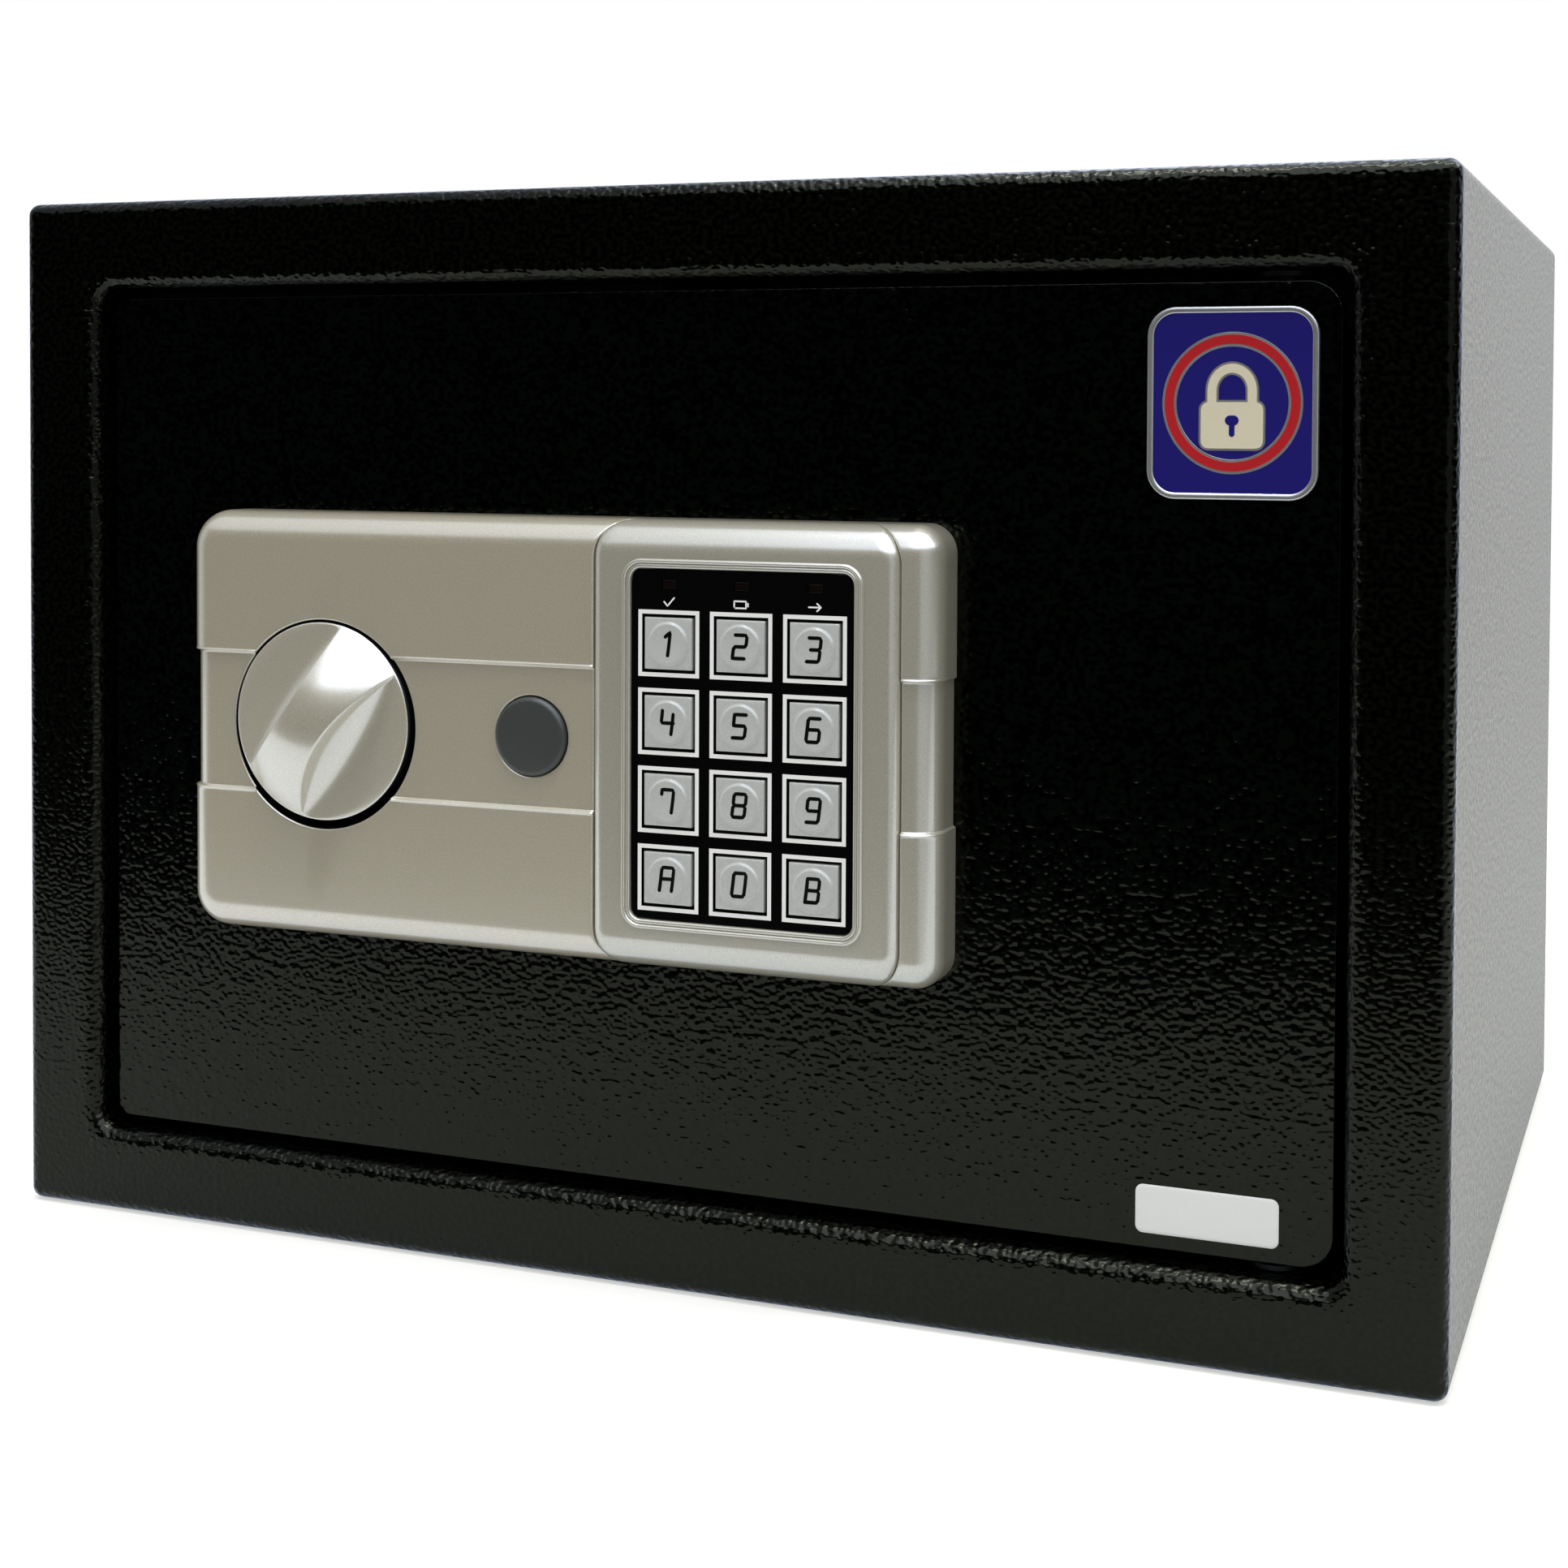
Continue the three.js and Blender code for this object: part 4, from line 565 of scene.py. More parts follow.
def corner_inset(z, low, high, radius):
    """How far a rounded corner draws the side in at height z."""
    over = np.clip(radius - np.minimum(z - low, high - z), 0.0, radius)
    return radius - np.sqrt(np.clip(radius * radius - over * over, 0.0, None))


def panel_distance(x, z, inset):
    """Distance inside the panel's outline drawn in by inset."""
    left, right = PANEL_LO[0] + inset, PANEL_HI[0] - inset
    low, high = PANEL_LO[2] + inset, PANEL_HI[2] - inset
    radius = np.where(x < (left + right) / 2, PANEL_LEFT_CORNER, PANEL_RIGHT_CORNER) - inset
    side = np.minimum(x - left, right - x)
    end = np.minimum(z - low, high - z)
    dx, dz = radius - side, radius - end
    return np.where((dx > 0) & (dz > 0), radius - np.hypot(dx, dz), np.minimum(side, end))


def panel_face(x, z):
    """Depth of the panel's front: flat, rounded off with radius 6.5 at its outline, recessed in the band."""
    recess = band(z)
    return PANEL_LO[1] + recess + fillet(panel_distance(x, z, np.maximum(recess, 0.0)), PANEL_FILLET)


def face_points(x, z, saddle):
    """Points of the panel's front at x and z, which drops off within SADDLE_ROUND of the saddle's edge."""
    t = np.clip(1 - np.abs(saddle - x) / SADDLE_ROUND, 0, 1)
    return np.stack([x, panel_face(x, z) + SADDLE_ROUND * 0.6 * t * t, np.broadcast_to(z, x.shape)], axis=-1)


def panel_rows():
    """Heights of the grid's rows: close together in the fillets, at the band's steps and round both holes."""
    turn = PANEL_LEFT_CORNER * (1 - np.cos(arc(18)))
    step = np.linspace(-0.85, 0.85, 17)
    rows = np.sort(np.concatenate([
        PANEL_LO[2] + turn, PANEL_HI[2] - turn, LOCK_Z + BAND_HALF + step, LOCK_Z - BAND_HALF + step,
        LOCK_Z + (WELL_RADIUS + RIM) * np.sin(arc(61, -90, 90)),
        LOCK_Z + (CAP_HOLE + RIM) * np.sin(arc(37, -90, 90))]))
    return rows[np.concatenate([[True], np.diff(rows) > 0.02])]


def hole_edge(z, radius):
    """Half chord of a round hole at height z."""
    return np.sqrt(np.clip(radius * radius - (z - LOCK_Z) ** 2, 0.0, None))


def across(start, end, count):
    """count places on each row, evenly from start to end."""
    return start[:, None] + (end - start)[:, None] * np.linspace(0, 1, count)


def hole_wall(shell, rows, x0, radius, floor):
    """Rounded rim and wall of a round hole, with its flat floor."""
    z = rows[np.abs(rows - LOCK_Z) <= radius + RIM + 1e-9]
    half = hole_edge(z, radius + RIM)
    left_side = np.stack([x0 - half, z], axis=-1)[::-1][1:-1]
    rim = np.vstack([np.stack([x0 + half, z], axis=-1), left_side])
    middle = np.array([x0, LOCK_Z])
    unit = (rim - middle) / (radius + RIM)
    top = panel_face(rim[:, 0], rim[:, 1])
    rings = [at_depth(middle + unit * (radius + RIM * (1 - math.sin(a))), top + RIM * (1 - math.cos(a)))
             for a in arc(5)]
    rings.append(at_depth(middle + unit * radius, floor))
    shell.grid(np.stack(rings), around_v=True)
    shell.fan(rings[-1])


def at_back(line):
    """The same line of points on the panel's back."""
    rear = line.copy()
    rear[:, 1] = PANEL_BACK
    return rear


def close_panel(shell, first, last, ends):
    """Walls from both side edges and both end lines to the back, and the back itself."""
    for line in (first, last):
        shell.grid(np.stack([line, at_back(line)], axis=1))
    shell.grid(np.stack([at_back(first), at_back(last)], axis=1))
    for line in ends:
        shell.fan(np.vstack([line, at_back(line)[[-1, 0]]]))


def faceplate_left(rows, left, right):
    """The panel left of the keypad in three grids: outline to knob well, well to cap hole, hole to saddle."""
    well, cap = hole_edge(rows, WELL_RADIUS + RIM), hole_edge(rows, CAP_HOLE + RIM)
    turn = PANEL_LEFT_CORNER * (1 - np.cos(arc(16)))
    scale = np.minimum(1.0, (KNOB_X - well - left) / (PANEL_LEFT_CORNER * 1.2))
    near = left[:, None] + turn * scale[:, None]
    to_saddle = across(CAP_X + cap, right - SADDLE_PLACES[0], 9)
    blocks = [np.hstack([near, across(near[:, -1], KNOB_X - well, 7)[:, 1:]]),
              across(KNOB_X + well, CAP_X - cap, 9),
              np.hstack([to_saddle[:, :-1], right[:, None] - SADDLE_PLACES])]
    shell = Shell()
    for x in blocks:
        shell.grid(face_points(x, rows[:, None], right[:, None]))
    hole_wall(shell, rows, KNOB_X, WELL_RADIUS, WELL_FLOOR)
    hole_wall(shell, rows, CAP_X, CAP_HOLE, CAP_FLOOR)
    ends = [face_points(np.unique(np.hstack([x[row] for x in blocks])), rows[row], right[row])
            for row in (0, -1)]
    close_panel(shell, face_points(left, rows, right), face_points(right, rows, right), ends)
    shell.build("look_lock_faceplate", PANEL_SILVER, "door", "silver", ("lock_faceplate",), angle=32)


def faceplate_right(rows, left, right):
    """The panel's strip right of the keypad."""
    turn = PANEL_RIGHT_CORNER * (1 - np.cos(arc(14)))[::-1]
    ratio = np.minimum(1.0, (right - left - 0.8) / PANEL_RIGHT_CORNER)
    x = np.hstack([left[:, None] + SADDLE_PLACES[::-1], right[:, None] - turn * ratio[:, None]])
    face = face_points(x, rows[:, None], left[:, None])
    shell = Shell()
    shell.grid(face)
    close_panel(shell, face[:, 0], face[:, -1], (face[0], face[-1]))
    shell.build("look_lock_faceplate_right", SILVER, "door", "silver", angle=32)


def lock_faceplate():
    """Front surface on rows of constant height, with walls to the door. The keypad's saddle parts it in two
    closed bodies."""
    rows = panel_rows()
    recess = np.maximum(band(rows), 0.0)
    low, high = PANEL_LO[2] + recess, PANEL_HI[2] - recess
    left = PANEL_LO[0] + recess + corner_inset(rows, low, high, PANEL_LEFT_CORNER - recess)
    right = PANEL_HI[0] - recess - corner_inset(rows, low, high, PANEL_RIGHT_CORNER - recess)
    saddle = corner_inset(rows, PANEL_LO[2], PANEL_HI[2], HOUSING_CORNER + SADDLE_GAP) - SADDLE_GAP
    faceplate_left(rows, left, HOUSING_LO[0] + saddle)
    faceplate_right(rows, HOUSING_HI[0] - saddle, right)


def saddle_plate():
    """The thin frame of the faceplate that passes behind the keypad housing."""
    front, width, corner = HOUSING_HI[1] + 0.05, 9.0, 0.5
    extent = HOUSING_SIZE + [2 * SADDLE_GAP + 2.0, -0.04]
    rings = [at_depth(rounded(extent - 2 * e, corner, HOUSING_CENTRE), y)
             for e, y in ((0.0, front), (0.0, PANEL_BACK), (width, PANEL_BACK), (width, front))]
    hoop("look_lock_faceplate_saddle", rings, SILVER, "door", "silver")


lock_faceplate()
saddle_plate()

# Keypad housing and overlay

OVERLAY_LO, OVERLAY_HI = limits("keypad_overlay")
OVERLAY_SIZE, OVERLAY_CENTRE = front_view(OVERLAY_LO, OVERLAY_HI)
OVERLAY_CORNER, OVERLAY_BORDER = 2.5, 1.2
HOUSING_FILLET, HOUSING_ENDS, HOUSING_SOFT = 3.0, 7.25, 0.5
HOUSING_FACE = OVERLAY_LO[1] - 0.4
BEAD_IN, BEAD_MID, BEAD_OUT = 0.15, 1.2, 2.25
OUTER_BEAD, INNER_BEAD = 0.65, 0.42
LEDGE = 1.3
KEY_NAMES = ["1", "2", "3", "4", "5", "6", "7", "8", "9", "a", "0", "b"]
KEY_BOXES = {k: limits(f"key_{k}") for k in KEY_NAMES}
KEY_PLACES = {k: front_view(*box)[1] for k, box in KEY_BOXES.items()}
KEY_SIZE = float(front_view(*KEY_BOXES["1"])[0][0])
KEY_TOP = float(KEY_BOXES["1"][0][1])
COLUMNS = sorted({round(float(p[0]), 3) for p in KEY_PLACES.values()})
ROWS = sorted({round(float(p[1]), 3) for p in KEY_PLACES.values()})
KEY_PITCH = COLUMNS[1] - COLUMNS[0]
WINDOW_HALF, PRINT_HALF, PRINT_WIDTH = 6.35, 7.375, 0.92
DOME_RADIUS, DOME_HEIGHT, DOME_FLANK, DOME_HOLLOW = 4.95, 0.45, 0.7, 0.22
LAMP_LO, LAMP_HI = limits("indicator_lamp_1")
LAMP_HALF, LAMP_GAP = 1.8, 0.1


def bead(inner, outer, height, steps):
    """(offset, depth) across a bead from its outer to its inner foot, a little fuller than an ellipse."""
    return [(outer + (inner - outer) * (t + 1) / 2, -height * math.sqrt(max(1 - t * t, 0.0)) ** 0.9)
            for t in np.linspace(-1, 1, steps)]


def keypad_housing():
    """Front: sides rounded with radius 3 and ends with radius 7.25, joined by a soft maximum of both depths.
    Then the double bead, the overlay's pocket and the window."""
    low, high, back = HOUSING_LO[2], HOUSING_HI[2], HOUSING_HI[1]
    pocket = OVERLAY_HI[1] + 0.05

    def outline(inset):
        points = rounded(HOUSING_SIZE, HOUSING_CORNER, HOUSING_CENTRE, inset)
        ends = fillet(np.minimum(points[:, 1] - low, high - points[:, 1]), HOUSING_ENDS)
        side = fillet(inset, HOUSING_FILLET)
        deep = np.log(np.exp(ends / HOUSING_SOFT) + np.exp(side / HOUSING_SOFT) - 1.0) * HOUSING_SOFT
        return at_depth(points, HOUSING_FACE + deep)

    def window(offset, y):
        return at_depth(rounded(OVERLAY_SIZE, OVERLAY_CORNER, OVERLAY_CENTRE, -offset), y)

    turn = HOUSING_FILLET * (1 - np.cos(arc(9)))
    rings = [at_depth(rounded(HOUSING_SIZE, HOUSING_CORNER, HOUSING_CENTRE), back)]
    rings += [outline(inset) for inset in (*turn, 3.4, 3.9, 4.5, 5.2, 6.0, 6.7, 7.2)]
    profile = bead(BEAD_MID, BEAD_OUT, OUTER_BEAD, 11) + bead(BEAD_IN, BEAD_MID, INNER_BEAD, 9)[1:]
    rings += [window(offset, HOUSING_FACE + depth) for offset, depth in profile]
    rings += [window(BEAD_IN, pocket), window(-LEDGE, pocket), window(-LEDGE, back)]
    hoop("look_keypad_housing", rings, SILVER, "door", "silver", ("keypad_housing",), angle=55)


def keypad_overlay():
    """Sheet cut on a grid of columns and rows: cells at a key or lamp stay open. A rounded border joins it to
    its outline."""
    front, back = OVERLAY_LO[1], OVERLAY_HI[1]
    lamp_z = (LAMP_LO[2] - LAMP_GAP, LAMP_HI[2] + LAMP_GAP)
    xs = {OVERLAY_LO[0] + OVERLAY_BORDER, OVERLAY_HI[0] - OVERLAY_BORDER}
    zs = {OVERLAY_LO[2] + OVERLAY_BORDER, OVERLAY_HI[2] - OVERLAY_BORDER, *lamp_z}
    openings = []
    for x in COLUMNS:
        xs |= {x - WINDOW_HALF, x + WINDOW_HALF, x - LAMP_HALF, x + LAMP_HALF}
        openings += [(x - WINDOW_HALF, x + WINDOW_HALF, z - WINDOW_HALF, z + WINDOW_HALF) for z in ROWS]
        openings.append((x - LAMP_HALF, x + LAMP_HALF, *lamp_z))
    for z in ROWS:
        zs |= {z - WINDOW_HALF, z + WINDOW_HALF}
    xs, zs = np.array(sorted(xs)), np.array(sorted(zs))
    cx, cz = (xs[:-1] + xs[1:]) / 2, (zs[:-1] + zs[1:]) / 2
    solid = np.ones((len(cx), len(cz)), bool)
    for x0, x1, z0, z1 in openings:
        solid &= ~(((cx > x0) & (cx < x1))[:, None] & ((cz > z0) & (cz < z1)))
    padded = np.pad(solid, 1, constant_values=True)
    shell = Shell()

    def quad(*corners):
        shell.grid(np.array(corners, float).reshape(2, 2, 3))

    for i, j in zip(*np.nonzero(solid)):
        a, b, c, d = xs[i], xs[i + 1], zs[j], zs[j + 1]
        for y in (front, back):
            quad((a, y, c), (b, y, c), (a, y, d), (b, y, d))
        for beside, p, q in (((i, j + 1), (a, c), (a, d)), ((i + 2, j + 1), (b, c), (b, d)),
                             ((i + 1, j), (a, c), (b, c)), ((i + 1, j + 2), (a, d), (b, d))):
            if not padded[beside]:
                quad((p[0], front, p[1]), (p[0], back, p[1]), (q[0], front, q[1]), (q[0], back, q[1]))
    overlay_border(shell, xs, zs, front, back)
    mat = keypad_print(COLUMNS, ROWS, KEY_PITCH, PRINT_HALF - PRINT_WIDTH, PRINT_HALF)
    shell.build("look_keypad_overlay", mat, "door", "keypad_black", ("keypad_overlay",), angle=30)


def overlay_border(shell, xs, zs, front, back):
    """Strip between the grid's rectangle and the overlay's rounded outline, front, back and outer edge."""
    right = [(xs[-1], z) for z in zs]
    top = [(x, zs[-1]) for x in xs[::-1]]
    left = [(xs[0], z) for z in zs[::-1]]
    low = [(x, zs[0]) for x in xs]
    inner = np.array(right[:-1] + top[:-1] + left[:-1] + low[:-1])
    half = OVERLAY_SIZE / 2
    core = half - OVERLAY_CORNER
    pushed = (inner - OVERLAY_CENTRE) * (half / np.abs(inner[0] - OVERLAY_CENTRE))
    corner = np.clip(pushed, -core, core)
    away = pushed - corner
    length = np.maximum(np.linalg.norm(away, axis=1), 1e-9)[:, None]
    in_corner = np.all(np.abs(pushed) > core, axis=1)[:, None]
    outer = OVERLAY_CENTRE + np.where(in_corner, corner + away / length * OVERLAY_CORNER, pushed)
    shell.grid(np.stack([at_depth(inner, front), at_depth(outer, front), at_depth(outer, back),
                         at_depth(inner, back)]), around_v=True)


keypad_housing()
keypad_overlay()

# Keys, their characters and the lamps' marks


def key_depth(x, z):
    """Depth of a key's face at x, z from its middle: a flat pad with a round dome, hollow on top."""
    r = np.hypot(x, z)
    rise = DOME_HEIGHT * smooth((DOME_RADIUS - r) / DOME_FLANK)
    hollow = DOME_HOLLOW * np.clip(1 - (r / (DOME_RADIUS - DOME_FLANK)) ** 2, 0, 1)
    return KEY_TOP + DOME_HEIGHT - rise + hollow


def key(name):
    """Rings from the middle outward: circles within the dome, then squares to the edge, bevel and sides."""
    place, back, half = KEY_PLACES[name], KEY_BOXES[name][1][1], KEY_SIZE / 2
    bevel, chamfer = 0.25, 0.07
    dome = circle(64)
    square = dome / np.max(np.abs(dome), axis=1)[:, None]
    tops = [dome * r for r in (*np.linspace(0.5, 3.9, 6), *np.linspace(4.1, DOME_RADIUS, 7))]
    tops += [dome * DOME_RADIUS * (1 - t) + square * (half - bevel) * t for t in (0.35, 0.7, 1.0)]
    rings = [at_depth(p + place, key_depth(p[:, 0], p[:, 1])) for p in tops]
    face = KEY_TOP + DOME_HEIGHT
    rings += [at_depth(square * reach + place, y)
              for reach, y in ((half - chamfer, face + chamfer), (half, face + bevel), (half, back))]
    slab(f"look_key_{name}", rings, KEY_GREY, f"key_{name}", "key_grey", (f"key_{name}",), angle=60)


def ribbon(shell, path, width, depth, place, thick):
    """A flat stroke with round ends along a path of (x, z) points from place, on the surface depth(x, z)."""
    path = np.array(path, float)
    spacing, narrowest, shoulder = 0.35, 0.12, 0.4
    fine = [path[0]]
    for p, q in zip(path[:-1], path[1:]):
        n = max(int(np.linalg.norm(q - p) / spacing), 1)
        fine += [p + (q - p) * t for t in np.linspace(0, 1, n + 1)[1:]]
    fine = np.array(fine)
    step = np.gradient(fine, axis=0)
    step /= np.linalg.norm(step, axis=1)[:, None]
    turn = arc(4, 90, 15)
    head = [(fine[0] - step[0] * width / 2 * math.sin(a), step[0], math.cos(a)) for a in turn]
    body = [(p, s, 1.0) for p, s in zip(fine, step)]
    tail = [(fine[-1] + step[-1] * width / 2 * math.sin(a), step[-1], math.cos(a)) for a in turn[::-1]]
    rings = []
    for p, s, share in head + body + tail:
        n = np.array([-s[1], s[0]]) * width / 2 * max(share, narrowest)
        line = np.array([p + n, p + n * shoulder, p - n * shoulder, p - n])
        y = depth(line[:, 0], line[:, 1])
        rings.append(np.vstack([at_depth(line + place, y - thick / 2),
                                at_depth(line + place, y + thick / 2)[::-1]]))
    shell.column(rings)


# Strokes of each character, as (across, up) points in percent of its width and height
CHARACTERS = {
    "1": [[(25, 80), (62, 100), (62, 0)]],
    "2": [[(5, 100), (88, 100), (100, 90), (100, 60), (88, 50), (12, 50), (0, 40), (0, 0), (95, 0)]],
    "3": [[(5, 100), (88, 100), (100, 90), (100, 60), (90, 50), (100, 40), (100, 10), (88, 0), (5, 0)],
          [(25, 50), (90, 50)]],
    "4": [[(0, 100), (0, 55), (8, 47), (100, 47)], [(92, 85), (92, 0)]],
    "5": [[(95, 100), (0, 100), (0, 52), (88, 52), (100, 42), (100, 10), (88, 0), (5, 0)]],
    "6": [[(92, 100), (12, 100), (0, 90), (0, 10), (12, 0), (88, 0), (100, 10), (100, 42), (88, 52),
          (5, 52)]],
    "7": [[(0, 78), (0, 98), (85, 98), (97, 88), (97, 0)]],
    "8": [[(12, 50), (0, 60), (0, 90), (12, 100), (88, 100), (100, 90), (100, 60), (88, 50), (100, 40),
          (100, 10), (88, 0), (12, 0), (0, 10), (0, 40), (12, 50), (88, 50)]],
    "9": [[(95, 48), (12, 48), (0, 58), (0, 90), (12, 100), (88, 100), (100, 90), (100, 10), (88, 0),
          (8, 0)]],
    "0": [[(12, 100), (88, 100), (100, 90), (100, 10), (88, 0), (12, 0), (0, 10), (0, 90), (12, 100)]],
    "a": [[(0, 0), (0, 90), (12, 100), (88, 100), (100, 90), (100, 0)], [(0, 50), (100, 50)]],
    "b": [[(0, 0), (0, 100), (85, 100), (97, 90), (97, 60), (87, 50), (100, 40), (100, 10), (88, 0),
          (0, 0)], [(0, 50), (87, 50)]],
}


def legend(name):
    """A character 5.9 mm high in strokes 0.82 mm wide, leaning to the right."""
    wide, high, lean, stroke_width = 2.9, 5.1, 0.12, 0.82
    shell = Shell()
    for k, stroke in enumerate(CHARACTERS[name]):
        u, v = np.array(stroke).T / 100 - 0.5
        points = np.stack([u * wide + v * high * lean, v * high], axis=-1)
        ribbon(shell, points, stroke_width, key_depth, KEY_PLACES[name], 0.05 + 0.01 * k)
    shell.build(f"legend_{name}", INK, f"key_{name}", "key_grey", angle=60)


def lamp_marks():
    """White marks under the lamps: a tick, the outline of a cell and an arrow."""
    level, stroke_width = float(LAMP_LO[2]) - 2.9, 0.36
    marks = [
        [[(-1.1, 0.1), (-0.3, -0.8), (1.3, 1.0)]],
        [[(-1.6, -0.75), (1.2, -0.75), (1.2, 0.75), (-1.6, 0.75), (-1.6, -0.75)],
         [(1.65, -0.3), (1.65, 0.3)]],
        [[(-1.4, 0.0), (1.3, 0.0)], [(0.5, 0.8), (1.4, 0.0), (0.5, -0.8)]],
    ]
    for number, (x, strokes) in enumerate(zip(COLUMNS, marks), 1):
        shell = Shell()
        for k, stroke in enumerate(strokes):
            ribbon(shell, stroke, stroke_width, lambda u, v: OVERLAY_LO[1], (x, level), 0.03 + 0.008 * k)
        shell.build(f"lamp_mark_{number}", WHITE_INK, "door", "keypad_black", angle=60)


for key_name in KEY_NAMES:
    key(key_name)
    legend(key_name)
lamp_marks()

# Knob and override cap

KNOB_FACE = PANEL_LO[1] - 0.3
KNOB_RIM = KNOB_RADIUS - 0.5
GRIP_HEIGHT, GRIP_WAIST, GRIP_END = 9.0, 11.9, 19.6
GRIP_EDGE, GRIP_EDGE_WIDTH = 0.3, 0.55
FOOT_HEIGHT, FOOT_WIDTH, FOOT_EDGE = 4.3, 6.6, 0.8
FLANK_START, FLANK_WIDTH = 0.06, 0.26
GRIP_TURN = math.radians(36.5)


def grip_half(along):
    """Half width of the bar: 5.95 at its waist, 9.8 at its ends."""
    t = along / KNOB_RADIUS
    return (GRIP_WAIST + (GRIP_END - GRIP_WAIST) * t * t) / 2


def foot_share(along):
    """Share of the foot's size at a place along the bar: 1 at the waist, 0 at the rim."""
    t = along / KNOB_RADIUS
    return np.clip(1 - t * t, 0, 1)


def knob_height(along, aside):
    """Height above the disc. The bar's top is the paraboloid 1 - r^2, drawn down by 0.3 mm towards its edges;
    each flank drops steeply to a foot that flares into the disc as (1 - u)^2.6."""
    r = np.hypot(along, aside) / KNOB_RIM
    share = foot_share(along)
    out = np.abs(aside) - grip_half(along)
    steep = smooth((out + FLANK_START) / FLANK_WIDTH)
    u = np.clip(out, 0, None) / (FOOT_WIDTH * share + FOOT_EDGE)
    foot = FOOT_HEIGHT * share ** 2 * np.clip(1 - u, 0, 1) ** 2.6
    edge = GRIP_EDGE * share * np.clip((out + GRIP_EDGE_WIDTH) / GRIP_EDGE_WIDTH, 0, 1) ** 2
    top = GRIP_HEIGHT * np.clip(1 - r * r, 0, 1) - edge
    return np.maximum(top * (1 - steep) + np.minimum(foot, top) * steep, 0.0)


def knob():
    """Rows across the bar, each with its points at the same places of the section, so the crest and the foot
    run unbroken; then the disc's chamfer, side and back."""
    along = -KNOB_RIM * np.cos(arc(201, 0, 180))
    chord = np.sqrt(np.clip(KNOB_RIM ** 2 - along ** 2, 0, None))
    half = grip_half(along)
    flare = FOOT_WIDTH * foot_share(along) + FOOT_EDGE
    top = [(half - 0.6) * f for f in np.linspace(0, 1, 9)[1:]]
    crest = [half + d for d in (-0.45, -0.32, -0.2, -0.12, -0.06, -0.01, 0.05, 0.12, 0.2)]
    slope = [half + 0.2 + (flare - 0.2) * f for f in (0.04, 0.1, 0.18, 0.28, 0.4, 0.55, 0.7, 0.85, 1.0)]
    last = np.minimum(slope[-1], chord)
    disc = [last + (chord - last) * f for f in (0.25, 0.5, 0.75, 1.0)]
    right = np.stack([np.minimum(c, chord) for c in top + crest + slope + disc], axis=1)
    aside = np.hstack([-right[:, ::-1], np.zeros((len(along), 1)), right])
    length = np.repeat(along[:, None], aside.shape[1], axis=1)
    x = DISC_CENTRE[0] + aside * math.cos(GRIP_TURN) + length * math.sin(GRIP_TURN)
    z = DISC_CENTRE[1] - aside * math.sin(GRIP_TURN) + length * math.cos(GRIP_TURN)
    face = np.stack([x, KNOB_FACE - knob_height(length, aside), z], axis=-1)
    shell = Shell()
    shell.grid(face)
    edge = np.vstack([face[:, -1], face[-2:0:-1, 0]])
    unit = (edge[:, [0, 2]] - DISC_CENTRE) / KNOB_RIM
    rings = [edge] + [at_depth(DISC_CENTRE + unit * r, y) for r, y in (
        (KNOB_RADIUS - 0.25, KNOB_FACE + 0.08), (KNOB_RADIUS, KNOB_FACE + 0.4), (KNOB_RADIUS, KNOB_HI[1]))]
    shell.grid(np.stack(rings), around_v=True)
    shell.fan(rings[-1])
    shell.build("look_knob", KNOB_SILVER, "knob", "silver", ("knob",), angle=60)


def override_cap():
    """Turned cap: slightly crowned face and a rounded edge of 1.2 mm."""
    top, edge, crown = CAP_LO[1], 1.2, 0.4
    profile = [(0.4, top), (CAP_RADIUS * 0.3, top + 0.05), (CAP_RADIUS * 0.55, top + 0.14)]
    profile += [(CAP_RADIUS - edge * (1 - math.cos(a)), top + crown + edge * (1 - math.sin(a)))
                for a in arc(8)[::-1]]
    profile.append((CAP_RADIUS, CAP_HI[1]))
    slab("look_override_cap", turned_y(profile, np.array([CAP_X, LOCK_Z])), CAP_GREY, "override_cap",
         "cap_grey", ("override_cap",), angle=50)


knob()
override_cap()

# Badge and label


